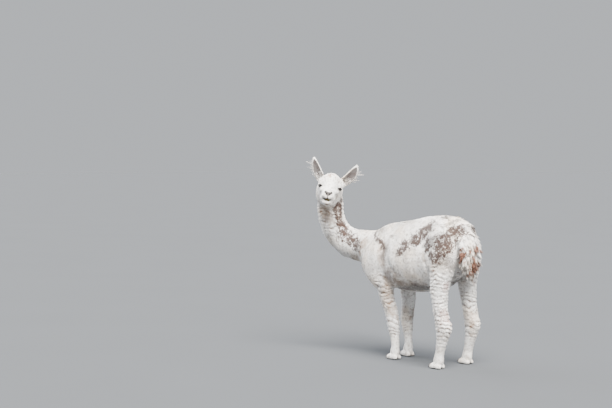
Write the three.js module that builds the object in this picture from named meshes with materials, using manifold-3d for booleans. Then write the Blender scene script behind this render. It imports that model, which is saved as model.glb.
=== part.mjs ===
// A newly shorn alpaca, standing, with its head turned back over its left shoulder.
// Millimetres, +Z up. The animal walks towards -Y and +X is its left side.
// The flesh is modelled whole, out to the tips of the coat, and then parted with thin cuts.
import * as THREE from 'three';
import { LoftGeometry } from 'three/addons/geometries/LoftGeometry.js';
import { mergeVertices } from 'three/addons/utils/BufferGeometryUtils.js';
import Module from 'manifold-3d';

const wasm = await Module();
wasm.setup();

// Driving dimensions: heights above the floor.
const CROUP = 861;
const WITHERS = 800;
const BELLY = 398;
const ELBOW = 425;
const KNEE = 215;
const HOCK = 236;
const FETLOCK = 57;

// Driving dimensions: the trunk and the stance.
const CHEST_FRONT = -397;
const RUMP_BACK = 418;
const BELLY_HALF_WIDTH = 156;
const FORE_STANCE = 72; // a forefoot's distance from the middle line
const HIND_STANCE = 122;
const TAIL_SWING = 12; // the tail hangs a little to the left

// Driving dimensions: the head's place and pose, and its features.
const HEAD_AT = [135, -573, 994]; // midway between the eyes
const HEAD_TURN = 137; // degrees to the animal's left
const HEAD_LIFT = 10; // degrees, muzzle up
const HEAD_TILT = 11; // degrees, towards its left shoulder
const EYE = 17; // radius of an eyeball
const EYE_PLACE = [52, -26, -5]; // the middle of the left eyeball
const EAR_CUT = [80, 48, 66]; // where the left ear parts from the head
const MOUTH = -93; // height of the mouth's line at the lips
const MOUTH_OPEN = 3.2; // degrees

// Driving dimensions: where the body parts into nodes.
const TAIL_CUT = RUMP_BACK - 6; // the tail is what lies behind this
const NECK_CUT = { y: -598, z: 757, lean: 21.8 }; // middle and lean of the box round the neck
const HEAD_CUT = 868; // the head is what lies above this
const EAR_LEAN = 26; // degrees, outwards
const LEG_CUT = { x: 232, lean: 28.4, rise: 21 }; // the slanted cut between a leg and the trunk
const HIP_RISE = 30; // how far above the belly line the hind leg's cut starts
const ELBOW_DROP = 6; // how far below it the foreleg's starts
const FORE_REACH = { front: -335, behind: 62 }; // the foreleg's cut, behind is from the elbow
const HIND_REACH = { front: 226, behind: 4 }; // the hind leg's cut, behind is from the rump

const KERF = 0.3; // the gap that parts neighbouring nodes
const MIDDLE = { x: 54, y: -113 }; // the middle of what the animal covers of the floor

const radians = THREE.MathUtils.degToRad;

// One cross-section: its centre, its half sizes across and deep, how much narrower it is
// at its deep side (egg, 0 for an ellipse), and the turn of its width axis about +Z.
const ring = (x, y, z, wide, deep, egg = 0, turn = 0) => ({ x, y, z, wide, deep, egg, turn });

// A closed loft through elliptical cross-sections, smooth from each to the next.
function limb(rings, sides, steps, margin = 0) {
  const curve = (point) => new THREE.CatmullRomCurve3(rings.map(point), false, 'catmullrom', 0.5);
  const path = curve((r) => new THREE.Vector3(r.x, r.y, r.z));
  const sizes = curve((r) => new THREE.Vector3(r.wide, r.deep, r.egg));
  const turns = curve((r) => new THREE.Vector3(r.turn, 0, 0));
  const count = (rings.length - 1) * steps;
  const sections = [];
  for (let i = 0; i <= count; i++) {
    const centre = path.getPoint(i / count);
    const tangent = path.getTangent(i / count);
    const size = sizes.getPoint(i / count);
    const turn = radians(turns.getPoint(i / count).x);
    const across = new THREE.Vector3(Math.cos(turn), Math.sin(turn), 0);
    across.addScaledVector(tangent, -across.dot(tangent)).normalize();
    const deep = new THREE.Vector3().crossVectors(tangent, across);
    const section = [];
    for (let j = 0; j < sides; j++) {
      const angle = (2 * Math.PI * j) / sides;
      const wide = (Math.max(size.x, 1) + margin) * (1 - size.z * Math.sin(angle));
      section.push(centre.clone()
        .addScaledVector(across, wide * Math.cos(angle))
        .addScaledVector(deep, (Math.max(size.y, 1) + margin) * Math.sin(angle)));
    }
    sections.push(section);
  }
  return new LoftGeometry(sections, { capStart: true, capEnd: true });
}

// A closed geometry as a solid that can be joined and cut.
function solid(geometry, matrix = new THREE.Matrix4()) {
  const bare = new THREE.BufferGeometry();
  bare.setAttribute('position', geometry.getAttribute('position').clone());
  bare.setIndex(geometry.getIndex());
  bare.applyMatrix4(matrix);
  const merged = mergeVertices(bare, 1e-3);
  return new wasm.Manifold(new wasm.Mesh({
    numProp: 3,
    vertProperties: merged.getAttribute('position').array,
    triVerts: new Uint32Array(merged.getIndex().array),
  }));
}

const joined = (solids) => solids.reduce((all, one) => all.add(one));

// A box that can be asked for with a margin on every side, turned (in degrees) and placed,
// in the animal's frame or in another one.
function block(size, at, turn = [0, 0, 0], frame = new THREE.Matrix4()) {
  const place = new THREE.Matrix4().compose(
    new THREE.Vector3(...at),
    new THREE.Quaternion().setFromEuler(new THREE.Euler(...turn.map(radians))),
    new THREE.Vector3(1, 1, 1));
  const matrix = new THREE.Matrix4().multiplyMatrices(frame, place);
  return (margin) => solid(new THREE.BoxGeometry(...size.map((s) => s + 2 * margin)), matrix);
}

// Parts a body in two with a thin cut: what lies inside the cutter, and the rest.
const sever = (body, cutter) => [body.intersect(cutter(0)), body.subtract(cutter(KERF))];

// A solid as a named mesh.
function mesh(name, body, material) {
  const made = body.getMesh();
  const geometry = new THREE.BufferGeometry();
  geometry.setAttribute('position', new THREE.BufferAttribute(made.vertProperties, 3));
  geometry.setIndex(new THREE.BufferAttribute(made.triVerts, 1));
  geometry.computeVertexNormals();
  const result = new THREE.Mesh(geometry, material);
  result.name = name;
  return result;
}

// ---- The trunk, from the buttocks forward to the front of the chest ----
// Each station gives the height of the back and of the belly line, and the half width.
function trunk() {
  const station = (y, top, bottom, half, egg) =>
    ring(0, y, (top + bottom) / 2, half, (top - bottom) / 2, egg);
  return solid(limb([
    station(RUMP_BACK, 735, 660, 36, 0),
    station(RUMP_BACK - 12, 785, 606, 74, 0),
    station(RUMP_BACK - 50, 834, 562, 106, 0.05),
    station(RUMP_BACK - 108, CROUP, 515, 126, 0.12),
    station(240, CROUP, 465, 138, 0.16),
    station(150, 847, 418, 150, 0.18),
    station(60, 828, BELLY, BELLY_HALF_WIDTH, 0.18),
    station(-30, 814, BELLY, 154, 0.2),
    station(-110, WITHERS + 4, 410, 142, 0.22),
    station(-180, WITHERS - 10, 428, 126, 0.22),
    station(-240, WITHERS - 42, 450, 112, 0.2),
    station(-300, WITHERS - 78, 468, 102, 0.1),
    station(CHEST_FRONT + 34, 690, 484, 86, 0),
    station(CHEST_FRONT, 640, 512, 46, 0),
  ], 20, 2));
}

// ---- The neck, from inside the chest up to the back of the head ----
const NECK = [
  ring(0, -170, 636, 86, 120, 0.2, 0),
  ring(0, -260, 634, 88, 114, 0.15, 0),
  ring(0, -340, 634, 88, 109, 0.1, 0),
  ring(3, -411, 640, 84, 101, 0.1, 4),
  ring(13, -470, 646, 80, 97, 0.05, 16),
  ring(29, -532, 666, 77, 92, 0.05, 34),
  ring(50, -576, 706, 78, 85, 0, 58),
  ring(67, -603, 755, 79, 83, 0, 82),
  ring(76, -619, 802, 79, 81, 0, 100),
  ring(79, -629, 850, 80, 79, 0, 116),
  ring(77, -631, 905, 80, 76, 0, 128),
  ring(78, -628, 952, 70, 67, 0, 137),
  ring(82, -624, 998, 44, 42, 0, 137),
];

// ---- The legs: each is lofted from inside the trunk down to the pastern ----
function hindLeg(side) {
  const x = HIND_STANCE;
  return [
    ring(side * 60, 262, 790, 36, 50),
    ring(side * 84, 280, 720, 56, 92),
    ring(side * 96, 296, 640, 60, 106),
    ring(side * (x - 18), 306, 560, 56, 87),
    ring(side * (x - 8), 303, 490, 50, 65),
    ring(side * (x - 2), 302, 420, 45, 54),
    ring(side * x, 310, 345, 40, 43),
    ring(side * x, 324, HOCK + 44, 37, 43),
    ring(side * x, 336, HOCK, 36, 50),
    ring(side * x, 331, HOCK - 44, 32, 42),
    ring(side * x, 317, 130, 28, 31),
    ring(side * x, 306, FETLOCK + 26, 26, 28),
    ring(side * x, 300, FETLOCK - 8, 28, 32),
    ring(side * x, 294, 20, 26, 30),
  ];
}

// How far back the leg's middle line lies at the elbow, mid forearm, above the knee,
// at the knee, at mid cannon and at the fetlock: the right leg is set further forward.
const FORE_LINE = {
  left: [-161, -141, -116, -100, -87, -82],
  right: [-132, -116, -118, -125, -117, -112],
};
function foreLeg(side) {
  const x = FORE_STANCE;
  const line = side > 0 ? FORE_LINE.left : FORE_LINE.right;
  return [
    ring(side * 66, -200, 680, 34, 52),
    ring(side * 84, -220, 610, 50, 94),
    ring(side * 90, -228, 540, 54, 100),
    ring(side * (x + 16), line[0] - 36, 475, 47, 74),
    ring(side * (x + 8), line[0], ELBOW, 43, 59),
    ring(side * (x + 4), line[1], 345, 40, 46),
    ring(side * x, line[2], KNEE + 66, 37, 41),
    ring(side * x, line[3], KNEE, 36, 39),
    ring(side * x, (line[3] + line[4]) / 2, KNEE - 42, 31, 34),
    ring(side * x, line[4], 128, 26, 28),
    ring(side * x, line[5], FETLOCK + 22, 25, 26),
    ring(side * x, line[5] - 3, FETLOCK - 8, 27, 31),
    ring(side * x, line[5] - 6, 20, 25, 29),
  ];
}

// ---- A foot: two padded toes with a cleft between them, each with its own nail ----
function toe(x, y) {
  return [
    ring(x, y + 32, 13, 8, 9),
    ring(x, y + 18, 14, 14, 17),
    ring(x, y - 6, 17, 16, 21),
    ring(x, y - 26, 14, 15, 18),
    ring(x, y - 40, 11, 10, 12),
    ring(x, y - 46, 10, 4, 5),
  ];
}
function nail(x, y) {
  return [
    ring(x, y - 29, 26, 6, 4),
    ring(x, y - 40, 19, 8, 6),
    ring(x, y - 50, 12, 6, 5),
    ring(x, y - 56, 8, 2, 2),
  ];
}
const TOE_APART = 15; // a toe's distance from the middle of its foot
const NAIL_ROOT = 43; // how far ahead of the leg's line the nails part from the toes

// ---- The tail, hanging from its root over the buttocks ----
const TAIL = [
  ring(TAIL_SWING * 0.3, 352, 800, 28, 24),
  ring(TAIL_SWING * 0.7, 395, 772, 60, 36),
  ring(TAIL_SWING, 428, 722, 88, 43),
  ring(TAIL_SWING, 440, 655, 97, 46),
  ring(TAIL_SWING, 436, 590, 85, 43),
  ring(TAIL_SWING, 426, 535, 52, 30),
  ring(TAIL_SWING, 420, 502, 16, 12),
];

// ---- The head, in a frame of its own between the eyes, facing -Y ----
const headFrame = new THREE.Group();
headFrame.position.set(...HEAD_AT);
headFrame.rotation.set(-radians(HEAD_LIFT), radians(HEAD_TILT), radians(HEAD_TURN), 'ZXY');
headFrame.updateMatrix();
const inHead = (rings, sides, steps, margin) =>
  solid(limb(rings, sides, steps, margin), headFrame.matrix);

// From the back of the head forward to the tip of the nose: each ring reaches from the
// crown, forehead or bridge of the nose down to the throat, jaw or lower lip.
const profile = (y, top, bottom, wide, egg = 0) =>
  ring(0, y, (top + bottom) / 2, wide, (top - bottom) / 2, egg);
const HEAD = [
  profile(102, 20, -50, 30),
  profile(90, 56, -98, 60),
  profile(60, 80, -122, 78),
  profile(22, 89, -130, 82),
  profile(-12, 70, -129, 70),
  profile(-42, 37, -124, 54),
  profile(-75, 3, -117, 45),
  profile(-105, -18, -113, 43),
  profile(-130, -29, -108, 39),
  profile(-147, -41, -98, 28),
  profile(-156, -54, -80, 13),
];

function nostril(side) {
  return inHead([
    ring(side * 6, -146, -70, 2, 4),
    ring(side * 10, -153, -63, 3, 6),
    ring(side * 16, -150, -55, 3, 6),
    ring(side * 21, -140, -51, 1.5, 4),
  ], 6, 1);
}

// An eyeball, and the same a margin larger for its socket.
function eyeball(side, margin) {
  const [x, y, z] = EYE_PLACE;
  const place = new THREE.Matrix4().makeTranslation(side * x, y, z);
  place.premultiply(headFrame.matrix);
  return solid(new THREE.SphereGeometry(EYE + margin, 12, 8), place);
}

// An ear is a spear with its front hollowed out. Its inner edge is nearly straight, and
// the left ear opens wider than the right one.
function ear(side) {
  const open = side > 0 ? 1 : 0;
  const spear = (thinner, forward) => [
    [56, 46, 30, 22, 20],
    [68 + 2 * open, 50 - forward, 50, 26 + open, 19],
    [88 + 7 * open, 52 - forward, 78, 27 + 2 * open, 16],
    [106 + 8 * open, 53 - forward, 108, 25 + 3 * open, 13],
    [121 + 6 * open, 52 - forward, 138, 19 + 3 * open, 10],
    [129 + 3 * open, 50 - forward, 160, 11 + open, 7],
  ].map(([x, y, z, wide, deep]) =>
    ring(side * x, y, z, wide - thinner, deep - thinner, 0, side * 14));
  const tip = ring(side * 132, 49, 171, 4, 4, 0, side * 14);
  const hollow = spear(5, 10).slice(1);
  return inHead([...spear(0, 0), tip], 12, 1).subtract(inHead(hollow, 10, 1));
}

// The lower incisors, four pegs side by side behind the lower lip.
function incisors(margin) {
  const pegs = [-1.5, -0.5, 0.5, 1.5].map((place) => inHead([
    ring(place * 5.4, -114, -102, 2.9, 1.8),
    ring(place * 5.4, -121, -90, 2.8, 1.3),
  ], 6, 1, margin));
  return joined(pegs);
}

// ---- The whole animal, cut level at the floor ----
const SIDES = { left: 1, right: -1 };
const LEGS = {};
for (const [word, side] of Object.entries(SIDES)) {
  LEGS[`foreleg_${word}`] = { side, fore: true, rings: foreLeg(side), x: FORE_STANCE };
  LEGS[`hindleg_${word}`] = { side, fore: false, rings: hindLeg(side), x: HIND_STANCE };
}
for (const leg of Object.values(LEGS)) {
  leg.at = leg.rings.at(-1).y;
  leg.elbow = leg.rings[4].y;
  leg.toes = [-1, 1].map((way) => leg.side * leg.x + way * TOE_APART);
}
const legSolid = (leg) => joined([
  solid(limb(leg.rings, 12, 1)),
  ...leg.toes.map((x) => solid(limb(toe(x, leg.at), 8, 1))),
  ...leg.toes.map((x) => solid(limb(nail(x, leg.at), 6, 1))),
]);

const floorCut = block([3000, 3000, 200], [0, 0, -100])(0);
let body = joined([
  trunk(),
  solid(limb(NECK, 16, 2)),
  solid(limb(TAIL, 14, 2)),
  inHead(HEAD, 16, 2),
  ear(1),
  ear(-1),
  ...Object.values(LEGS).map(legSolid),
]).subtract(floorCut);

const nodes = {};
const part = (name, cutter) => {
  [nodes[name], body] = sever(body, cutter);
};
// Parts a node from another node that is already there.
const partFrom = (from, name, cutter) => {
  [nodes[name], nodes[from]] = sever(nodes[from], cutter);
};

// ---- The cuts: tail, neck, head, ears, lower jaw ----
part('tail', block([300, 200, 420], [0, TAIL_CUT + 100, 640]));
part('neck', block([800, 600, 1200], [0, NECK_CUT.y, NECK_CUT.z], [-NECK_CUT.lean, 0, 0]));
partFrom('neck', 'head', block([600, 600, 500], [100, -600, HEAD_CUT + 250]));
for (const [word, side] of Object.entries(SIDES)) {
  const [x, y, z] = EAR_CUT;
  const along = 80;
  const aside = 16;
  const [sine, cosine] = [Math.sin(radians(EAR_LEAN)), Math.cos(radians(EAR_LEAN))];
  const at = [side * (x + along * sine + aside * cosine), y, z + along * cosine - aside * sine];
  partFrom('head', `ear_${word}`,
    block([96, 80, 2 * along], at, [0, side * EAR_LEAN, 0], headFrame.matrix));
}
const jawCut = block([140, 150, 60], [0, -35 - 75, MOUTH - 30], [-2, 0, 0], headFrame.matrix);
partFrom('head', 'lower_jaw', jawCut);
const mouthWedge = block([140, 120, 8], [0, -140, MOUTH - 1], [MOUTH_OPEN, 0, 0], headFrame.matrix);
nodes.lower_jaw = nodes.lower_jaw.subtract(mouthWedge(0));

// ---- Each leg parts from the trunk along a slanted plane, and again at knee and fetlock ----
for (const [name, leg] of Object.entries(LEGS)) {
  const joint = leg.fore ? KNEE : HOCK;
  const low = leg.fore ? BELLY - ELBOW_DROP : BELLY + HIP_RISE;
  const front = leg.fore ? FORE_REACH.front : HIND_REACH.front;
  const back = leg.fore ? leg.elbow + FORE_REACH.behind : RUMP_BACK + HIND_REACH.behind;
  const slant = block([300, back - front, 270],
    [leg.side * LEG_CUT.x, (front + back) / 2, low + LEG_CUT.rise], [0, leg.side * LEG_CUT.lean, 0]);
  const straight = block([210, back - front + 60, low + 20],
    [leg.side * 125, (front + back) / 2 + 30, low / 2 - 10]);
  part(`${name}_upper`, (margin) => slant(margin).add(straight(margin)));
  partFrom(`${name}_upper`, `${name}_cannon`,
    block([130, 330, joint + 20], [leg.side * leg.x, leg.at, joint / 2 - 10]));
  partFrom(`${name}_cannon`, `${name}_foot`,
    block([130, 330, FETLOCK + 20], [leg.side * leg.x, leg.at, FETLOCK / 2 - 10]));
  leg.toes.forEach((x, i) => {
    partFrom(`${name}_foot`, `${name}_nail_${i + 1}`,
      block([28, 40, 60], [x, leg.at - NAIL_ROOT - 20, 20], [-18, 0, 0]));
  });
}
nodes.trunk = body;

// ---- Eyes in their sockets, nostrils, and the incisors in the lower jaw ----
for (const [word, side] of Object.entries(SIDES)) {
  nodes[`eye_${word}`] = eyeball(side, 0);
  nodes.head = nodes.head.subtract(eyeball(side, KERF)).subtract(nostril(side));
}
nodes.incisors = incisors(0);
for (const name of ['head', 'lower_jaw']) {
  nodes[name] = nodes[name].subtract(incisors(KERF));
}

// ---- The finished group ----
const fleece = new THREE.MeshStandardMaterial({ color: 0xe8e2d8, roughness: 0.95, metalness: 0 });
const glossy = new THREE.MeshStandardMaterial({ color: 0x120d0b, roughness: 0.08, metalness: 0 });
const tooth = new THREE.MeshStandardMaterial({ color: 0xc9a84e, roughness: 0.4, metalness: 0 });
const horn = new THREE.MeshStandardMaterial({ color: 0x4a4038, roughness: 0.5, metalness: 0 });
const finish = (name) => {
  if (name.startsWith('eye')) return glossy;
  if (name.includes('nail')) return horn;
  return name === 'incisors' ? tooth : fleece;
};

const alpaca = new THREE.Group();
for (const [name, piece] of Object.entries(nodes)) {
  alpaca.add(mesh(name, piece, finish(name)));
}
alpaca.position.set(-MIDDLE.x, -MIDDLE.y, 0);

export default alpaca;
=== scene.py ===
# %% [markdown]
# # A newly shorn alpaca
# A young alpaca stands still, its head turned back over its left shoulder. It was shorn a
# few weeks ago: the fleece is a dense, flat pile on the body, long only on the tail and
# the edges of the ears. The flesh is one closed skin, worked out from the same cross
# sections that the solids were carried through, and drawn in by the depth of the coat.
# The coat is then laid over it in tufts.

import bpy
import numpy as np
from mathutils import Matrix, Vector


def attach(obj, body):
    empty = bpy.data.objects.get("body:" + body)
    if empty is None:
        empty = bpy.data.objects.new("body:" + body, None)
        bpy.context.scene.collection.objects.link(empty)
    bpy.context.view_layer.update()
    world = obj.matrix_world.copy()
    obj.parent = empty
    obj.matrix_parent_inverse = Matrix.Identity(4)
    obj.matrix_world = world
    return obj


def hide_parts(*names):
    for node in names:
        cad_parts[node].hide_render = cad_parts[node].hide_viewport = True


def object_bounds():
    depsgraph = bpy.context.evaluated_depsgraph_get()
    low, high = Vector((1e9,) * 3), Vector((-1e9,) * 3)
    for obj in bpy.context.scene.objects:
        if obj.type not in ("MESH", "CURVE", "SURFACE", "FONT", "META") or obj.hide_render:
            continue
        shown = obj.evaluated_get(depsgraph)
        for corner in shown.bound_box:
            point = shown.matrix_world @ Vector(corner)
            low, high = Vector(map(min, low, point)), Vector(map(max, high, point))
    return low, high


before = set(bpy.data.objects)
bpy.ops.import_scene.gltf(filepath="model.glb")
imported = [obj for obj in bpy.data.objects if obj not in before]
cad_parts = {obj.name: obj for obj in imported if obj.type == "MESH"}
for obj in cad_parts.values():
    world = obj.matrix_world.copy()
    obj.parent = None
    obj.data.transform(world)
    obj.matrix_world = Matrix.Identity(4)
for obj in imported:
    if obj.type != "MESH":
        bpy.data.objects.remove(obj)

CAD_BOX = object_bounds()
print("solids from", [round(v, 3) for v in CAD_BOX[0]], "to", [round(v, 3) for v in CAD_BOX[1]])

# %% [markdown]
# The animal is described in millimetres in a frame of its own: it walks towards -Y, its
# left side is +X and its middle line is x = 0. The scene's origin is the middle of the
# floor that it covers, so that one offset takes every point into the scene.

# %% From the animal's millimetres to the scene's metres
MM = 0.001
MIDDLE = np.array([54.0, -113.0, 0.0])


def to_scene(points):
    """A point less the middle of the covered floor, times 0.001."""
    return (np.asarray(points, float) - MIDDLE) * MM


TINY, SMALL = 1e-9, 1e-6  # what a divisor never falls below


def unit(vectors):
    """Each row divided by its length."""
    return vectors / np.maximum(np.linalg.norm(vectors, axis=-1, keepdims=True), TINY)


def dot(a, b):
    """Row by row: the sum of the products."""
    return (a * b).sum(-1)


def mirrored(points):
    """The same points with x made positive: left and right are then alike."""
    return np.stack([np.abs(points[:, 0]), points[:, 1], points[:, 2]], -1)


# %% [markdown]
# Every part of the body is a limb: elliptical cross sections carried along a curved
# middle line. Between its rings all sizes follow one cubic, so that limbs stay smooth.
# Rings are given as heights and half widths, all in millimetres.

# %% A limb: cross sections along a smooth line
def cubic(values, at):
    """Catmull-Rom: a cubic whose slope at each value is half the step between its two
    neighbours. Past the ends, the first and last steps are repeated."""
    values = np.asarray(values, float)
    padded = np.vstack([2 * values[0] - values[1], values, 2 * values[-1] - values[-2]])
    i = np.clip(np.floor(at).astype(int), 0, len(values) - 2)
    u = (at - i)[:, None]
    a, b, c, d = (padded[i + k] for k in range(4))
    return 0.5 * (2 * b + (c - a) * u + (2 * a - 5 * b + 4 * c - d) * u**2
                  + (3 * b - a - 3 * c + d) * u**3)


SAMPLES = 12  # places worked out between two rings
RING_SIZE = 7  # x, y, z, half width, half depth, egg, turn
THINNEST = 1.0  # the least half width that a section may have


def between_rings(rings, samples):
    """The rings with their missing numbers set to nought, and that many sections from
    each to the next."""
    rings = np.array([list(r) + [0.0] * (RING_SIZE - len(r)) for r in rings], float)
    return cubic(rings, np.linspace(0, len(rings) - 1, (len(rings) - 1) * samples + 1))


def limb(rings, coat=(0.0, 0.0)):
    """Rings are (x, y, z, half width, half depth, egg, turn). The middle line, its
    direction, the section's two axes and its sizes, at even steps from ring to ring.
    coat is the depth that the fleece takes, at the first and at the last ring."""
    made = between_rings(rings, SAMPLES)
    centre = made[:, :3]
    tangent = unit(np.gradient(centre, axis=0))
    turn = np.radians(made[:, 6])
    across = np.stack([np.cos(turn), np.sin(turn), 0 * turn], -1)
    across = unit(across - tangent * dot(across, tangent)[:, None])
    coat = np.linspace(coat[0], coat[1], len(made))
    wide = np.maximum(made[:, 3], THINNEST) - coat
    deep = np.maximum(made[:, 4], THINNEST) - coat
    step = np.linalg.norm(np.gradient(centre, axis=0), axis=1)
    grow = np.gradient((wide + deep) / 2) / step
    length = np.concatenate([[0], np.cumsum(np.linalg.norm(np.diff(centre, axis=0), axis=1))])
    reach = np.maximum(wide * (1 + abs(made[:, 5])), deep)[:, None]
    return dict(centre=centre, tangent=tangent, across=across,
                over=np.cross(tangent, across), wide=np.maximum(wide, THINNEST),
                deep=np.maximum(deep, THINNEST), egg=made[:, 5], grow=grow, step=step,
                length=length, low=(centre - reach).min(0), high=(centre + reach).max(0))


# %% [markdown]
# How far is a point from a limb's wall? The nearest place on the middle line is looked
# up, the section there is measured, and the ellipse gives the distance: negative inside,
# nought on the wall. Everything else, from folds to eyelids, is added to such distances.

# %% Distance from a limb
CLOSE = 70.0  # beyond this, a limb's box is measured in place of its wall
DOME = 0.2  # height of an end's dome, as a part of its half width


def beside(points, shape):
    """How far the points lie outside a limb's box, nought inside it."""
    gap = np.maximum(np.maximum(shape["low"] - points, points - shape["high"]), 0)
    return np.linalg.norm(gap, axis=1)


def along(points, shape):
    """For each point, the nearest place on the middle line, as a fraction of its samples,
    and the point's place in the section there: across, over, and how far it lies past
    the nearer end of the line (negative before it)."""
    centre, tangent = shape["centre"], shape["tangent"]
    near = ((centre * centre).sum(1)[None] - 2 * points @ centre.T).argmin(1)
    ahead = dot(points - centre[near], tangent[near]) / shape["step"][near]
    at = np.clip(near + ahead, 0, len(centre) - 1)
    low = np.minimum(at.astype(int), len(centre) - 2)
    part = (at - low)[:, None]

    def between(name):
        table = shape[name].reshape(len(centre), -1)
        return table[low] * (1 - part) + table[low + 1] * part

    off = points - between("centre")
    x, y = dot(off, unit(between("across"))), dot(off, unit(between("over")))
    ahead, run = dot(off, unit(between("tangent"))), between("length")[:, 0]
    within = -np.minimum(run, shape["length"][-1] - run)
    past = np.where(at <= 0, -ahead, np.where(at >= len(centre) - 1, ahead, within))
    sizes = [between(name)[:, 0] for name in ("wide", "deep", "egg", "grow")]
    return at / (len(centre) - 1), x, y, past, sizes


def wall(points, shape):
    """Distance to the ellipse: k (k - 1) / m, where k is the length of (x / wide,
    y / deep) and m that of (x / wide^2, y / deep^2), less steep where the limb widens.
    The ends are closed with a low dome."""
    gap = beside(points, shape)
    result = gap + 1.0
    near = gap < CLOSE
    if not near.any():
        return result
    _, x, y, past, (wide, deep, egg, grow) = along(points[near], shape)
    sine = (y / deep) / np.maximum(np.hypot(x / wide, y / deep), SMALL)
    wide = wide * (1 - egg * sine)
    k = np.hypot(x / wide, y / deep)
    m = np.maximum(np.hypot(x / wide**2, y / deep**2), SMALL)
    d = k * (k - 1) / m / np.sqrt(1 + grow**2)
    capped = np.maximum(d, past + DOME * np.minimum(d, 0))
    result[near] = np.where((d > 0) & (past > 0), np.hypot(d, past), capped)
    return result


def ball(points, centre, sizes):
    """The same distance for an ellipsoid with those three half sizes."""
    off = points - np.asarray(centre, float)
    sizes = np.broadcast_to(np.asarray(sizes, float), (3,))
    k = np.linalg.norm(off / sizes, axis=1)
    m = np.maximum(np.linalg.norm(off / sizes**2, axis=1), SMALL)
    return k * (k - 1) / m


def blend(a, b, soft):
    """The lesser of two distances, rounded where they are within soft of each other:
    flesh that grows together."""
    h = np.clip(0.5 + 0.5 * (b - a) / soft, 0, 1)
    return b * (1 - h) + a * h - soft * h * (1 - h)


def carve(a, b, soft):
    """Shape a with shape b taken out, and the edge rounded by soft."""
    return -blend(-a, b, soft)


def fade(value, start, end):
    """0 before start, 1 after end, smooth between: 3 t^2 - 2 t^3."""
    t = np.clip((value - start) / (end - start), 0, 1)
    return t * t * (3 - 2 * t)


# %% [markdown]
# Nothing on an animal is ruled with a straight edge. One noise, made of random numbers at
# the corners of a lattice with smooth steps between them, bends ridges, parts locks and
# varies every tuft. Its numbers come from a fixed table, so each run gives the same coat.

# %% A smooth random field
TABLE_SIDE = 32
TABLE = np.random.default_rng(7).random((TABLE_SIDE,) * 3)
SHIFT_STEP = 11.3  # how far apart two shifts of the noise lie in its table


def noise(points, size, shift=0):
    """From -1 to 1 and smooth: the eight corners of a lattice of that size (mm), weighted
    by 3 t^2 - 2 t^3 along each axis."""
    p = np.asarray(points, float) / size + SHIFT_STEP * shift
    i = np.floor(p).astype(int)
    t = p - i
    t = t * t * (3 - 2 * t)
    total = 0
    for corner in np.ndindex(2, 2, 2):
        j = (i + corner) % TABLE_SIDE
        w = np.prod(np.where(corner, t, 1 - t), axis=-1)
        total = total + w * TABLE[j[..., 0], j[..., 1], j[..., 2]]
    return 2 * total - 1


# %% [markdown]
# ## The body
# The trunk is deep and hangs low at the belly. The legs are long and slim, the neck
# rises from the chest and bends to the left, and the tail hangs a little to that side.

# %% Trunk, neck and tail
CROUP, WITHERS, BELLY = 861.0, 800.0, 398.0
RUMP_BACK, CHEST_FRONT = 418.0, -397.0
BODY_COAT, FOOT_COAT, HEAD_COAT = 9.0, 2.0, 3.5  # how deep the fleece is, in mm
TOE_COAT, EAR_COAT = (1.5, 1.0), (1.5, 0.6)  # the same at a toe's and an ear's two ends


def station(y, top, bottom, half, egg):
    """A trunk ring from the heights of the back and the belly line."""
    return (0, y, (top + bottom) / 2, half, (top - bottom) / 2, egg, 0)


TRUNK = limb([
    station(RUMP_BACK, 735, 660, 36, 0),
    station(RUMP_BACK - 12, 785, 606, 74, 0),
    station(RUMP_BACK - 50, 834, 562, 106, 0.05),
    station(RUMP_BACK - 108, CROUP, 515, 126, 0.12),
    station(240, CROUP, 465, 138, 0.16),
    station(150, 847, 418, 150, 0.18),
    station(60, 828, BELLY, 156, 0.18),
    station(-30, 814, BELLY, 154, 0.2),
    station(-110, WITHERS + 4, 410, 142, 0.22),
    station(-180, WITHERS - 10, 428, 126, 0.22),
    station(-240, WITHERS - 42, 450, 112, 0.2),
    station(-300, WITHERS - 78, 468, 102, 0.1),
    station(CHEST_FRONT + 34, 690, 484, 86, 0),
    station(CHEST_FRONT, 640, 512, 46, 0),
], coat=(BODY_COAT, BODY_COAT))

NECK = limb([
    (0, -170, 636, 86, 120, 0.2, 0), (0, -260, 634, 88, 114, 0.15, 0),
    (0, -340, 634, 88, 109, 0.1, 0), (3, -411, 640, 84, 101, 0.1, 4),
    (13, -470, 646, 80, 97, 0.05, 16), (29, -532, 666, 77, 92, 0.05, 34),
    (50, -576, 706, 78, 85, 0, 58), (67, -603, 755, 79, 83, 0, 82),
    (76, -619, 802, 79, 81, 0, 100), (79, -629, 850, 80, 79, 0, 116),
    (77, -631, 905, 80, 76, 0, 128), (78, -628, 952, 70, 67, 0, 137),
    (82, -624, 998, 44, 42, 0, 137),
], coat=(BODY_COAT, HEAD_COAT + 2))

TAIL_SWING = 12.0
TAIL = limb([
    (TAIL_SWING * 0.3, 352, 800, 22, 20), (TAIL_SWING * 0.7, 388, 768, 36, 24),
    (TAIL_SWING, 418, 722, 52, 24), (TAIL_SWING, 428, 660, 56, 22),
    (TAIL_SWING, 426, 606, 44, 19), (TAIL_SWING, 420, 566, 22, 12),
    (TAIL_SWING, 417, 548, 8, 6),
])

# %% [markdown]
# The legs are given once for each pair and set to both sides. The right foreleg stands
# further forward than the left one. Each foot has two padded toes.

# %% Legs and toes
ELBOW, KNEE, HOCK, FETLOCK = 425.0, 215.0, 236.0, 57.0
FORE_STANCE, HIND_STANCE, TOE_APART = 72.0, 122.0, 15.0
FORE_LINE = {1: (-161, -141, -116, -100, -87, -82), -1: (-132, -116, -118, -125, -117, -112)}
SIDES = {"left": 1, "right": -1}


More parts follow.
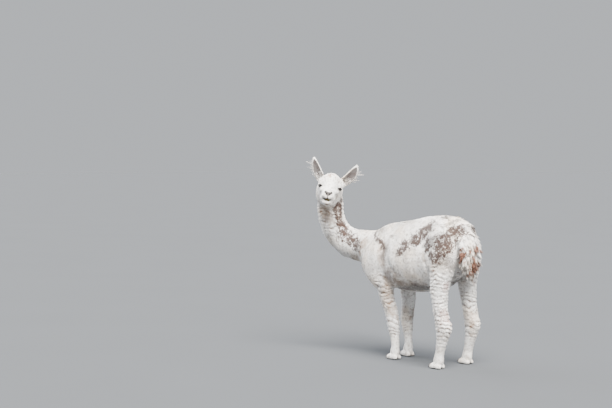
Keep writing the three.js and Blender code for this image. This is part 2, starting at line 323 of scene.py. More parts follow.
def hind_leg(side):
    """Rings from inside the hip, over the thigh, stifle and hock, to the pastern."""
    x = HIND_STANCE
    return [(side * a, *rest) for a, *rest in [
        (60, 262, 790, 36, 50), (84, 280, 720, 56, 92), (96, 296, 640, 60, 106),
        (x - 18, 306, 560, 56, 87), (x - 8, 303, 490, 50, 65), (x - 2, 302, 420, 45, 54),
        (x, 310, 345, 40, 43), (x, 324, HOCK + 44, 37, 43), (x, 336, HOCK, 36, 50),
        (x, 331, HOCK - 44, 32, 42), (x, 317, 130, 28, 31), (x, 306, FETLOCK + 26, 26, 28),
        (x, 300, FETLOCK - 8, 28, 32), (x, 294, 20, 26, 30)]]


def fore_leg(side):
    """Rings from inside the shoulder, over the elbow and knee, to the pastern."""
    x, line = FORE_STANCE, FORE_LINE[side]
    return [(side * a, *rest) for a, *rest in [
        (66, -200, 680, 34, 52), (84, -220, 610, 50, 94), (90, -228, 540, 54, 100),
        (x + 16, line[0] - 36, 475, 47, 74), (x + 8, line[0], ELBOW, 43, 59),
        (x + 4, line[1], 345, 40, 46), (x, line[2], KNEE + 66, 37, 41),
        (x, line[3], KNEE, 36, 39), (x, (line[3] + line[4]) / 2, KNEE - 42, 31, 34),
        (x, line[4], 128, 26, 28), (x, line[5], FETLOCK + 22, 25, 26),
        (x, line[5] - 3, FETLOCK - 8, 27, 31), (x, line[5] - 6, 20, 25, 29)]]


def toe(x, y):
    """A padded toe, from under the pastern forward to its tip."""
    return [(x, y + 32, 13, 8, 9), (x, y + 18, 14, 14, 17), (x, y - 6, 17, 16, 21),
            (x, y - 26, 14, 15, 18), (x, y - 40, 11, 10, 12), (x, y - 46, 10, 4, 5)]


LEGS, TOES, FEET = {}, [], {}
for word, side in SIDES.items():
    pair = (("fore", fore_leg(side), FORE_STANCE), ("hind", hind_leg(side), HIND_STANCE))
    for kind, rings, x in pair:
        name = f"{kind}leg_{word}"
        LEGS[name] = limb(rings, coat=(BODY_COAT, FOOT_COAT))
        FEET[name] = [(side * x + way * TOE_APART, rings[-1][1]) for way in (-1, 1)]
        TOES += [limb(toe(*at), coat=TOE_COAT) for at in FEET[name]]
print(len(LEGS), "legs and", len(TOES), "toes")

# %% [markdown]
# ## The head
# The head has a frame of its own, midway between the eyes: it faces -Y there too, and
# is then tilted, lifted and turned back. Working there keeps its two sides alike.

# %% The head's frame
HEAD_AT = np.array([135.0, -573.0, 994.0])
HEAD_TURN, HEAD_LIFT, HEAD_TILT = 137.0, 10.0, 11.0


def head_axes():
    """Turn about Z, times lift about X, times tilt about Y, as one matrix."""
    turn, lift, tilt = np.radians([HEAD_TURN, -HEAD_LIFT, HEAD_TILT])
    about_z = [[np.cos(turn), -np.sin(turn), 0], [np.sin(turn), np.cos(turn), 0], [0, 0, 1]]
    about_x = [[1, 0, 0], [0, np.cos(lift), -np.sin(lift)], [0, np.sin(lift), np.cos(lift)]]
    about_y = [[np.cos(tilt), 0, np.sin(tilt)], [0, 1, 0], [-np.sin(tilt), 0, np.cos(tilt)]]
    return np.array(about_z) @ np.array(about_x) @ np.array(about_y)


AXES = head_axes()


def to_head(points):
    """From the animal's frame to the head's."""
    return (points - HEAD_AT) @ AXES


def from_head(points):
    """From the head's frame to the animal's."""
    return np.asarray(points, float) @ AXES.T + HEAD_AT


def profile(y, top, bottom, wide):
    """A head ring that reaches from the crown or nose down to the throat or jaw."""
    return (0, y, (top + bottom) / 2, wide, (top - bottom) / 2, 0, 0)


SKULL = limb([
    profile(102, 20, -50, 30), profile(90, 56, -98, 60), profile(60, 80, -122, 78),
    profile(22, 89, -130, 82), profile(-12, 70, -129, 70), profile(-42, 37, -124, 54),
    profile(-75, 3, -117, 45), profile(-105, -18, -113, 43), profile(-130, -29, -108, 39),
    profile(-147, -41, -98, 28), profile(-156, -54, -80, 13),
], coat=(HEAD_COAT + 3, 1.0))


def spear(side, thinner=0.0, forward=0.0):
    """An ear's rings: a spear that leans outwards, its inner edge nearly straight. The
    left ear opens wider than the right one."""
    o = 1 if side > 0 else 0
    rows = [(56, 46, 30, 22, 20), (68 + 2 * o, 50 - forward, 50, 26 + o, 19),
            (88 + 7 * o, 52 - forward, 78, 27 + 2 * o, 16),
            (106 + 8 * o, 53 - forward, 108, 25 + 3 * o, 13),
            (121 + 6 * o, 52 - forward, 138, 19 + 3 * o, 10),
            (129 + 3 * o, 50 - forward, 160, 11 + o, 7)]
    return [(side * x, y, z, w - thinner, d - thinner, 0, side * 14) for x, y, z, w, d in rows]


EAR_WALL, HOLLOW_FORWARD = 5.5, 10.0  # how much the hollow is thinner and further forward
EARS, EAR_HOLLOWS, NOSTRILS = {}, {}, {}
for word, side in SIDES.items():
    tip = (side * 132, 49, 171, 4, 4, 0, side * 14)
    EARS[word] = limb(spear(side) + [tip], coat=EAR_COAT)
    EAR_HOLLOWS[word] = limb(spear(side, EAR_WALL, HOLLOW_FORWARD)[1:])
    NOSTRILS[word] = limb([
        (side * 7, -149, -69, 3, 4), (side * 11, -154, -62, 4.5, 6),
        (side * 16, -151, -56, 4.5, 6), (side * 20, -142, -52, 3, 4)])

# %% [markdown]
# Eyelids are the skin drawn over the ball: a slightly larger ball grows out of the head,
# and an almond is cut through it, down to just behind the eyeball's front. The opening
# is long and low, so that the eye looks sleepy.

# %% Eyes, lids, lips and nose as distances
EYE = 17.0
EYE_PLACE = np.array([52.0, -26.0, -5.0])
GAZE = unit(np.array([0.60, -0.80, 0.0]))
SLANT = np.radians(5.0)  # the inner corner is lower
BACK = unit(np.cross([0.0, 0.0, 1.0], GAZE))
UPWARD = np.cross(GAZE, BACK)
EYE_U = BACK * np.cos(SLANT) + UPWARD * np.sin(SLANT)
EYE_V = np.cross(GAZE, EYE_U)
ALMOND = (17.5, 6.6)  # half length and half height of the opening
CREASE_OFF, CREASE_HALF, CREASE_DEEP = 6.5, 1.9, 1.3  # the lids' crease: place, width, depth
MOUTH = -93.0  # the height of the mouth's line
MOUTH_HALF = 25.0  # from the middle of the mouth to its corner, seen from the front
MOUTH_BACK = 104.0  # how far forward of the eyes the mouth's opening ends
LIP_DEEP, TEETH_DEEP, LIP_EDGE = 9.0, 24.0, 1.6  # the slit's depth, more at the teeth; its edge
MUZZLE_FRONT, MUZZLE_ROUND = 150.0, 0.016  # how far forward it is, and how fast it curves back
CLEFT_HALF, CLEFT_FRONT, CLEFT_LEAN = 2.6, 157.0, 0.12  # the lip's cleft is a leaning groove
CLEFT_TOP, CLEFT_MIDDLE, CLEFT_END = -64.0, -76.0, -92.0  # its heights
CLEFT_EDGE, NOSTRIL_EDGE, EAR_EDGE = 2.5, 2.0, 2.5  # how softly these are carved out
LID_DEEP = 5.0  # how far the opening between the lids is cut into the eyeball
LID_FRONT = 2.0  # the least distance that it keeps before the eyeball's middle
FACE_BACK = 60.0  # behind this there is only the plain skull
GROWN = [  # what grows on the skull: centre and half sizes on the left side, and blend
    ("brow", (43, -26, 15), (20, 15, 8), 12),
    ("eyelids", EYE_PLACE + 0.6 * GAZE, 19.6, 8),
    ("cheekbone", (40, -58, -34), (14, 26, 12), 16),
    ("upper lip's pad", (17, -135, -74), (18.5, 19, 16.5), 5),
    ("lip beside it", (30, -112, -84), (16, 22, 17), 7),
    ("nose", (0, -140, -56), (13, 14, 12), 6),
    ("jaw", (20, -92, -104), (20, 34, 18), 16),
    ("chin", (0, -123, -112), (26, 22, 14), 9),
]


def lens_radius(a, b):
    """Radius of the circle that rises by b over a chord of half length a."""
    return (a * a + b * b) / (2 * b)


def almond(points, grow=0.0):
    """Distance to a lens seen along the gaze, two circles that cross at its corners, and
    how far along the gaze the point lies."""
    off = points - EYE_PLACE
    u, v = dot(off, EYE_U), dot(off, EYE_V)
    a, b = ALMOND[0] + grow, ALMOND[1] + grow
    radius = lens_radius(a, b)
    lens = np.maximum(np.hypot(u, v + radius - b), np.hypot(u, v - radius + b)) - radius
    return lens, dot(off, GAZE)


def mouth_gap(points):
    """Distance to the opening between the lips. The upper lip rises under the cleft and
    at the corners, the lower lip hangs 12 mm below it in the middle."""
    x, z = np.abs(points[:, 0]), points[:, 2]
    upper = MOUTH + 3.0 * np.exp(-(x / 6) ** 2) + 3.5 * fade(x, 10, MOUTH_HALF)
    lower = upper - 1.6 - 10.0 * fade(x, MOUTH_HALF, 5)
    return np.max([z - upper, lower - z, x - MOUTH_HALF], axis=0)


def behind_lips(points):
    """How far back a point lies from the muzzle's rounded front, in mm."""
    return points[:, 1] + MUZZLE_FRONT - MUZZLE_ROUND * points[:, 0] ** 2


def head_shape(points):
    """The skull's limb, with brow, lids, lip pads and chin grown on, and the eyes'
    openings and creases, the nostrils, the lip's cleft and the mouth carved out."""
    d = wall(points, SKULL)
    face = (np.abs(d) < CLOSE) & (points[:, 1] < FACE_BACK)
    if face.any():
        p, s, f = points[face], mirrored(points[face]), d[face]
        for _, centre, sizes, soft in GROWN:
            f = blend(f, ball(s, centre, sizes), soft)
        lens, out = almond(s)
        crease = np.exp(-(((lens - CREASE_OFF) / CREASE_HALF) ** 2)) * fade(out, 2, 9)
        f = f + CREASE_DEEP * crease
        hole = np.maximum(lens, EYE - LID_DEEP - np.linalg.norm(s - EYE_PLACE, axis=1))
        f = carve(f, np.maximum(hole, LID_FRONT - out), LIP_EDGE)
        behind = p[:, 1] + CLEFT_FRONT - CLEFT_LEAN * (p[:, 2] - CLEFT_MIDDLE)
        cleft = np.hypot(p[:, 0], behind) - CLEFT_HALF
        ends = np.maximum(p[:, 2] - CLEFT_TOP, CLEFT_END - p[:, 2])
        f = carve(f, np.maximum(cleft, ends), CLEFT_EDGE)
        for shape in NOSTRILS.values():
            f = carve(f, wall(p, shape), NOSTRIL_EDGE)
        depth = LIP_DEEP + TEETH_DEEP * fade(np.abs(p[:, 0]), 17, 12)
        slit = np.maximum(np.maximum(mouth_gap(p), p[:, 1] + MOUTH_BACK), -(f + depth))
        f = carve(f, slit, LIP_EDGE)
        d[face] = f
    return d


def ear_shape(points, word):
    """An ear with its front hollowed."""
    d = wall(points, EARS[word])
    near = np.abs(d) < CLOSE
    if near.any():
        hollow = wall(points[near], EAR_HOLLOWS[word])
        d[near] = carve(d[near], hollow, EAR_EDGE)
    return d


# %% [markdown]
# Folds and bones break the plain barrel: the hip bones, the hollow of the flank, the
# fold where the belly meets the thigh, and rows of ridges that the shears left on legs
# and throat. A ridge is a wave down the leg, bent by noise, with broad crests and narrow
# furrows. The longer hair of the crown lies in waves too.

# %% Bones, hollows and shearing ridges
FORMS = [  # centre, half sizes, height in mm (negative is a hollow)
    ("hip bone", (92, 226, 792), (42, 34, 60), 7.0),
    ("pin bone beside the tail", (56, 388, 800), (30, 30, 30), 5.0),
    ("hollow of the flank", (138, 172, 700), (60, 46, 70), -9.0),
    ("shoulder blade", (118, -196, 640), (34, 40, 90), 6.0),
    ("hollow behind the shoulder", (128, -110, 560), (40, 30, 90), -6.0),
    ("ribs", (150, 40, 560), (60, 90, 90), 4.0),
    ("stifle", (128, 236, 560), (30, 60, 60), 5.0),
    ("tendon above the hock", (110, 360, 330), (40, 24, 60), 2.0),
    ("hollow beside the withers", (60, -120, 790), (40, 40, 26), -4.0),
]
CREASES = [  # a fold's two ends, its half width and its depth in mm
    ("fold of the flank", (140, 192, 690), (145, 208, 592), 13, 5.0),
    ("fold before the stifle", (145, 208, 592), (124, 222, 505), 12, 6.0),
    ("fold of the shoulder", (124, -132, 680), (146, -92, 597), 16, 3.0),
    ("fold behind the elbow", (146, -92, 597), (146, -30, 520), 14, 4.5),
    ("first fold of the neck", (88, -402, 650), (62, -440, 566), 9, 3.0),
    ("second fold of the neck", (100, -372, 640), (96, -384, 560), 9, 2.5),
]
VANISHED = 30  # e to the power of minus this is as good as nought
PLEAT_HEIGHT, PLEAT_SIZE, PLEAT_SQUEEZE = 3.2, 34, 0.28  # the barrel's upright pleats
RIDGE_STEP = 21.0  # mm from crest to crest
RIDGE_HEIGHT = 2.2  # half the depth of a furrow, in mm
WAVE_STEP = 21.0  # the same as RIDGE_STEP, for the waves in the crown's fleece
BENDS = ((21, 66, 1), (9, 25, 2))  # how far noise moves a ridge, its size (mm), and its shift


def gap_to_line(points, a, b):
    """Distance from each point to the straight line between a and b."""
    a, b = np.array(a, float), np.array(b, float)
    t = np.clip((points - a) @ (b - a) / max((b - a) @ (b - a), TINY), 0, 1)
    return np.linalg.norm(points - a - t[:, None] * (b - a), axis=1)


def forms(points):
    """Height times e^(-r^2) for each soft bump, r in half sizes, less depth times
    e^(-(gap / half width)^2) for each crease, and upright pleats made by a noise that is
    stretched along Z."""
    twin = mirrored(points)
    total = np.zeros(len(points))
    for _, centre, sizes, height in FORMS:
        r2 = (((twin - centre) / sizes) ** 2).sum(1)
        total += height * np.exp(-np.minimum(r2, VANISHED))
    for _, a, b, half, deep in CREASES:
        total -= deep * np.exp(-np.minimum((gap_to_line(twin, a, b) / half) ** 2, VANISHED))
    _, y, z = points.T
    barrel = fade(z, 470, 540) * fade(z, 800, 730) * fade(y, 330, 250)
    pleats = noise(points * [1, 1, PLEAT_SQUEEZE], PLEAT_SIZE, 13)
    return total + PLEAT_HEIGHT * barrel * pleats


def ridges(points):
    """Height of the shearing ridges and of the crown's waves, from -1 to 1, and how
    strong they are there, from 0 to 1: each fade is an edge of a region that has them."""
    _, y, z = points.T
    bend = sum(push * noise(points, size, shift) for push, size, shift in BENDS)
    hind = fade(y, 190, 240) * fade(z, 90, 200) * fade(z, 690, 500)
    fore = 0.8 * fade(y, 20, -60) * fade(y, -300, -250) * fade(z, 90, 160) * fade(z, 560, 440)
    throat = 0.75 * fade(z, 680, 740) * fade(z, 915, 885) * fade(y, -420, -480)
    q = to_head(points)
    crown = 0.7 * fade(q[:, 2], 6, 34) * fade(q[:, 2], 104, 94) * fade(q[:, 1], -75, -35)
    crown *= fade(np.abs(q[:, 0]), 80, 64) * (q[:, 1] < 110)
    over_crown = (q[:, 2] - 0.7 * q[:, 1] + 0.6 * bend) / WAVE_STEP
    phase = np.where(crown > 0, over_crown, (z + bend) / RIDGE_STEP)
    wave = 2 * np.abs(np.sin(np.pi * phase)) - 1
    patchy = np.clip(0.66 + 0.75 * noise(points, 40, 3), 0.1, 1)
    return wave, np.max([hind, fore, throat, crown], axis=0) * patchy


JOIN = {"neck": 30, "leg": 24, "toe": 6, "tail": 22, "head": 14, "ear": 7}  # blends, in mm
NEAR_SKIN = 30  # folds and ridges are worked out only this near the skin
HEAD_SHARE = 0.6  # how much of a ridge's height the waves on the head have
UNEVEN_HEIGHT, UNEVEN_SIZE = 1.3, 60  # no stretch of skin is quite smooth
SOLE = 1.0  # the soles are flat, this high above the floor


def measure(points, parts=False):
    """Distance to the skin over the whole animal, negative inside. With parts, also the
    distance to each part by name."""
    d = wall(points, TRUNK)
    found = {"trunk": d.copy(), "neck": wall(points, NECK), "tail": wall(points, TAIL)}
    d = blend(d, found["neck"], JOIN["neck"])
    for name, leg in LEGS.items():
        found[name] = wall(points, leg)
        d = blend(d, found[name], JOIN["leg"])
    for shape in TOES:
        d = blend(d, wall(points, shape), JOIN["toe"])
    d = blend(d, found["tail"], JOIN["tail"])
    at = to_head(points)
    found["head"] = head_shape(at)
    d = blend(d, found["head"], JOIN["head"])
    for word in SIDES:
        found[f"ear_{word}"] = ear_shape(at, word)
        d = blend(d, found[f"ear_{word}"], JOIN["ear"])
    close = np.abs(d) < NEAR_SKIN
    if close.any():
        wave, strength = ridges(points[close])
        away = fade(found["head"][close], 4, 20)
        d[close] -= RIDGE_HEIGHT * wave * strength * np.maximum(away, HEAD_SHARE)
        d[close] -= forms(points[close]) * fade(found["head"][close], 10, 60)
        d[close] -= UNEVEN_HEIGHT * noise(points[close], UNEVEN_SIZE, 4) * away
    d = np.maximum(d, SOLE - points[:, 2])
    return (d, found) if parts else d


# %% [markdown]
# ## The skin
# The distance is turned into a mesh by surface nets: space is cut into cells, each cell
# that the skin crosses gets one corner point, and neighbouring points are joined by
# quads. Cells are small round the head and grow away from it, because lids and lips need
# them and a flank does not. Starting from big cells and splitting only those near the
# skin keeps it quick. Voxel remeshing could do this too, but with one cell size for all.

# %% Cells that grow away from the head
CELL = 2.6  # mm, round the head
CELL_CENTRE = from_head([0.0, -20.0, 15.0])
CELL_EVEN, CELL_POWER = 150.0, 1.75  # mm from there that cells stay even, and their growth
COARSEST = 64  # side of the first cells, in steps of the lattice
HALF_DIAGONAL = 0.87  # of a cell whose side is 1
SPARE = 1.3  # cells are kept a little further from the skin than that


def warp(lattice):
    """A lattice place to the animal's frame: as it is within CELL_EVEN of the centre, and
    at CELL_EVEN (r / CELL_EVEN)^CELL_POWER beyond it."""
    off = lattice * CELL
    r = np.maximum(np.linalg.norm(off, axis=1), SMALL)
    far = CELL_EVEN * (r / CELL_EVEN) ** CELL_POWER
    return CELL_CENTRE + off * (np.where(r > CELL_EVEN, far, r) / r)[:, None]


def stretch(lattice):
    """How many times longer a cell is there, at most, than round the head."""
    r = np.linalg.norm(lattice, axis=1) * CELL / CELL_EVEN
    return np.where(r > 1, CELL_POWER * np.maximum(r, 1) ** (CELL_POWER - 1), 1.0)


def lattice_reach():
    """The lattice cells needed to reach the far side of the solids' box."""
    corners = np.array([[CAD_BOX[i][0], CAD_BOX[j][1], CAD_BOX[k][2]]
                        for i, j, k in np.ndindex(2, 2, 2)]) / MM + MIDDLE
    far = np.linalg.norm(corners - CELL_CENTRE, axis=1).max()
    return CELL_EVEN * (far / CELL_EVEN) ** (1 / CELL_POWER) / CELL


KEY = 4096  # more cells than the lattice has along any side


def key(cells):
    """One whole number for a cell."""
    c = cells + KEY // 2
    return (c[..., 0] * KEY + c[..., 1]) * KEY + c[..., 2]


def crossed_cells():
    """Cells near the skin: a cell is kept where the distance at its middle is less than
    its half diagonal, with some to spare, and is then split in eight."""
    count = int(np.ceil(lattice_reach() / COARSEST)) + 1
    span = np.arange(-count, count) * COARSEST
    cells = np.stack(np.meshgrid(span, span, span, indexing="ij"), -1).reshape(-1, 3)
    size = COARSEST
    corners = np.array(list(np.ndindex(2, 2, 2)))
    while True:
        middle = cells + size / 2
        half = HALF_DIAGONAL * size * CELL * stretch(middle)
        cells = cells[np.abs(measure(warp(middle))) < SPARE * half]
        if size == 1:
            return cells
        size //= 2
        cells = (cells[:, None] + corners[None] * size).reshape(-1, 3)


# %% From cells to quads
EDGES = [(a, a | 1 << axis) for axis in range(3) for a in range(8) if not a >> axis & 1]


def slope(points, step=0.6):
    """The distance's gradient: the sum of the four directions to a tetrahedron's corners,
    each times the distance found a step along it."""
    corners = np.array([[1, -1, -1], [-1, -1, 1], [-1, 1, -1], [1, 1, 1.0]])
    return sum(c * measure(points + step * c)[:, None] for c in corners) / (4 * step)


BITS = np.array([[a & 1, a >> 1 & 1, a >> 2 & 1] for a in range(8)])


def corner_values(cells):
    """Places of the eight corners of each cell, and the distance at each."""
    corner = cells[:, None] + BITS[None]
    _, first, back = np.unique(key(corner).ravel(), return_index=True, return_inverse=True)
    places = warp(corner.reshape(-1, 3)[first])
    back = back.reshape(-1, 8)
    return places[back], measure(places)[back]


def round_edges(cells, inside):
    """The four cells round each crossed edge of each cell."""
    rows = []
    for a, b in EDGES:
        axis = (b - a).bit_length() - 1
        cross = inside[:, a] != inside[:, b]
        u, v = np.eye(3, dtype=int)[[(axis + 1) % 3, (axis + 2) % 3]]
        for i, j in np.ndindex(2, 2):
            rows.append(cells[cross] + u * (BITS[a] @ u - i) + v * (BITS[a] @ v - j))
    return np.concatenate(rows)


def cells_and_values():
    """The cells found by splitting, and then any that share a crossed edge with one of
    them, until none is missing, so that the skin has no hole."""
    new = crossed_cells()
    known = np.zeros(0, np.int64)
    kept = []
    while len(new):
        place, value = corner_values(new)
        inside = value < 0
        keep = inside.any(1) & ~inside.all(1)
        kept.append((new[keep], place[keep], value[keep]))
        known = np.concatenate([known, key(new)])
        about = round_edges(new[keep], inside[keep])
        names, first = np.unique(key(about), return_index=True)
        new = about[first][~np.isin(names, known)]
    cells, place, value = (np.concatenate(rows) for rows in zip(*kept))
    order = np.argsort(key(cells))
    return cells[order], place[order], value[order]


def nets():
    """One point per crossed cell, at the mean of where the skin crosses its edges, and a
    quad round each crossed edge."""
    cells, place, value = cells_and_values()
    inside = value < 0
    total, hits = np.zeros((len(cells), 3)), np.zeros(len(cells))
    for a, b in EDGES:
        cross = inside[:, a] != inside[:, b]
        fall = np.where(cross, value[:, a] - value[:, b], 1)
        t = np.where(cross, value[:, a] / fall, 0)[:, None]
        total += np.where(cross[:, None], place[:, a] * (1 - t) + place[:, b] * t, 0)
        hits += cross
    names = key(cells)
    quads = []
    for axis in range(3):
        cross = inside[:, 0] != inside[:, 1 << axis]
        u, v = np.eye(3, dtype=int)[[(axis + 1) % 3, (axis + 2) % 3]]
        ring = [cells[cross], cells[cross] - u, cells[cross] - u - v, cells[cross] - v]
        quad = np.stack([np.searchsorted(names, key(r)) for r in ring], -1)
        flip = ~inside[cross, 0]
        quad[flip] = quad[flip][:, ::-1]
        quads.append(quad)
    return total / hits[:, None], np.concatenate(quads)


LEAST_SLOPE, LONGEST_STEP = 0.2, 4.0  # of the squared gradient, and in mm


def settle(points, quads, rounds=2):
    """Each point moves halfway to the mean of its neighbours and then back onto the skin
    along the gradient, by distance over slope squared."""
    a = np.concatenate([quads[:, k] for k in range(4)])
    b = np.concatenate([quads[:, (k + 1) % 4] for k in range(4)])
    for _ in range(rounds):
        total = np.zeros_like(points)
        count = np.zeros(len(points))
        for one, other in ((a, b), (b, a)):
            for axis in range(3):
                total[:, axis] += np.bincount(one, points[other, axis], len(points))
            count += np.bincount(one, minlength=len(points))
        points = 0.5 * points + 0.5 * total / np.maximum(count, 1)[:, None]
        g = slope(points)
        step = measure(points)[:, None] * g / np.maximum(dot(g, g), LEAST_SLOPE)[:, None]
        length = np.linalg.norm(step, axis=1, keepdims=True)
        points = points - step * np.minimum(1, LONGEST_STEP / np.maximum(length, SMALL))
    return points


def surface(name, points, faces):
    """A smooth mesh from whole tables of points (the animal's mm) and of face corners."""
    mesh = bpy.data.meshes.new(name)
    faces = np.asarray(faces, np.int32)
    mesh.vertices.add(len(points))
    mesh.vertices.foreach_set("co", to_scene(points).astype(np.float32).ravel())
    mesh.loops.add(faces.size)
    mesh.loops.foreach_set("vertex_index", faces.ravel())
    mesh.polygons.add(len(faces))
    starts = np.arange(0, faces.size, faces.shape[1], dtype=np.int32)
    mesh.polygons.foreach_set("loop_start", starts)
    mesh.polygons.foreach_set("use_smooth", np.ones(len(faces), bool))
    mesh.update(calc_edges=True)
    made = bpy.data.objects.new(name, mesh)
    bpy.context.scene.collection.objects.link(made)
    return made


# %% The skin itself
skin_points, skin_quads = nets()
skin_points = settle(skin_points, skin_quads)
skin_normals = unit(slope(skin_points))
skin = surface("skin", skin_points, skin_quads)
print(len(skin_points), "points and", 2 * len(skin_quads), "triangles in the skin")

# %% [markdown]
# ## The markings
# The fleece is cream, with mottled brown patches on the neck, the side, the hip and the
# croup, rust on the tips of the tail's locks, and tan where sweat and earth have stained
# it. At the elbows, along the belly and under the chin, tan and grey are partly painted
# shade, and round the eyes, in the mouth, beside the muzzle and in the ears, dark and grey
# lines are painted shade. A patch is a stroke between two points on the body: full within
# it, and fading to nought at one and a half times its radius. The finish breaks its edge
# up with noise. Both the skin and the tufts over it carry these numbers, so that their
# marks agree.

# %% Where each colour lies
def stroke(points, a, b, radius):
    """1.5 less the distance to the line from a to b over the radius, between 0 and 1."""
    return np.clip(1.5 - gap_to_line(points, a, b) / radius, 0, 1)


STROKES = {
    "brown": [
        # down the left of the neck, and from the withers to the shoulder
        ((64, -553, 905), (93, -545, 812), 34), ((93, -545, 812), (85, -513, 734), 38),
        ((85, -513, 734), (80, -463, 690), 42), ((80, -463, 690), (84, -410, 650), 36),
        ((9, -314, 742), (87, -211, 703), 15), ((87, -211, 703), (118, -155, 660), 15),
        # from the ribs up to the loin
        ((143, 18, 650), (128, 69, 708), 36), ((128, 69, 708), (118, 114, 732), 46),
        ((118, 114, 732), (101, 152, 767), 44), ((101, 152, 767), (84, 192, 794), 36),
        # on the hip, the thigh and the croup
        ((139, 331, 704), (142, 322, 690), 66), ((122, 336, 744), (128, 360, 690), 52),
        ((117, 205, 737), (134, 228, 683), 32), ((79, 357, 784), (64, 403, 778), 38),
        ((64, 403, 778), (20, 436, 778), 28), ((150, 262, 640), (150, 300, 610), 30),
        # the right side: loin, hip, croup, neck and withers
        ((-138, 10, 660), (-118, 80, 740), 34), ((-118, 80, 740), (-96, 160, 776), 40),
        ((-136, 290, 680), (-120, 350, 740), 54), ((-70, 370, 780), (-40, 420, 778), 30),
        ((-86, -470, 660), (-82, -370, 690), 40), ((-60, -70, 806), (-112, -20, 760), 26),
    ],
    "grey": [
        # croup, withers and buttock
        ((11, 349, 834), (51, 332, 826), 24), ((51, 332, 826), (90, 290, 812), 20),
        ((86, -95, 745), (96, -70, 740), 15), ((150, 332, 651), (136, 371, 603), 46),
        ((136, 371, 603), (114, 389, 575), 34), ((20, 250, 862), (-40, 300, 850), 26),
        # shoulders, hip and belly; along the belly it is the groin's grey skin and painted shade
        # under the body
        ((-120, -180, 640), (-116, -140, 600), 22), ((117, 230, 700), (140, 300, 760), 40),
        ((120, -160, 690), (140, -120, 600), 26), ((84, -60, 410), (80, 150, 430), 40),
    ],
    "tan": [
        # earth on the chest, the elbows, the flank and the forearms; at the elbows and in the fold
        # behind them, earth and painted shade of the fold
        ((84, -359, 650), (92, -330, 690), 30), ((139, -110, 524), (109, -123, 434), 44),
        ((130, -30, 500), (70, 10, 425), 34), ((-139, -100, 524), (-109, -110, 434), 40),
        ((145, 190, 650), (145, 200, 600), 24), ((100, -120, 400), (76, -110, 240), 34),
        ((-100, -100, 400), (-76, -110, 240), 34), ((118, -155, 680), (134, -130, 540), 34),
        ((-132, -90, 640), (-136, -60, 560), 34),
        # wet from the mouth on the throat, and the breast below it; under the chin this tan is
        # also painted shade
        ((84, -540, 880), (84, -540, 760), 34), ((152, -600, 872), (128, -585, 800), 46),
        ((60, -470, 560), (96, -380, 600), 26),
    ],
    "rust": [  # the ends of the tail's locks
        ((107, 443, 652), (99, 441, 606), 22), ((78, 475, 645), (62, 475, 636), 19),
        ((6, 484, 666), (14, 484, 624), 19), ((50, 474, 590), (42, 472, 565), 24),
        ((22, 465, 548), (-30, 460, 545), 30), ((84, 441, 745), (76, 441, 742), 12),
        ((-60, 462, 640), (-66, 460, 600), 19), ((-80, 430, 700), (-80, 436, 670), 14),
    ],
    "pink": [  # skin that shows through on the hocks and the backs of the thighs
        ((122, 345, 320), (122, 350, 215), 30), ((-122, 345, 300), (-122, 350, 215), 26),
        ((120, 370, 470), (126, 372, 420), 30), ((-120, 380, 470), (-124, 380, 400), 30),
    ],
}
ON_BOTH_SIDES = [  # a fetlock, the belly's edge and a hock: the same left and right
    # the tan along the belly's edge is stain and painted shade on the underside
    ("grey", (122, 312, 130), (122, 302, 70), 22), ("tan", (130, -40, 450), (120, 150, 440), 46),
    ("tan", (122, 350, 245), (122, 342, 180), 32),
]
for mark, a, b, radius in ON_BOTH_SIDES:
    for side in SIDES.values():
        STROKES[mark].append(((side * a[0], *a[1:]), (side * b[0], *b[1:]), radius))


HEAD_MIDDLE, HEAD_REACH = (0, -20, 20), 260  # in the head's frame; no head mark lies further
RIM_WIDE = 6.5  # the dark rim round an eye


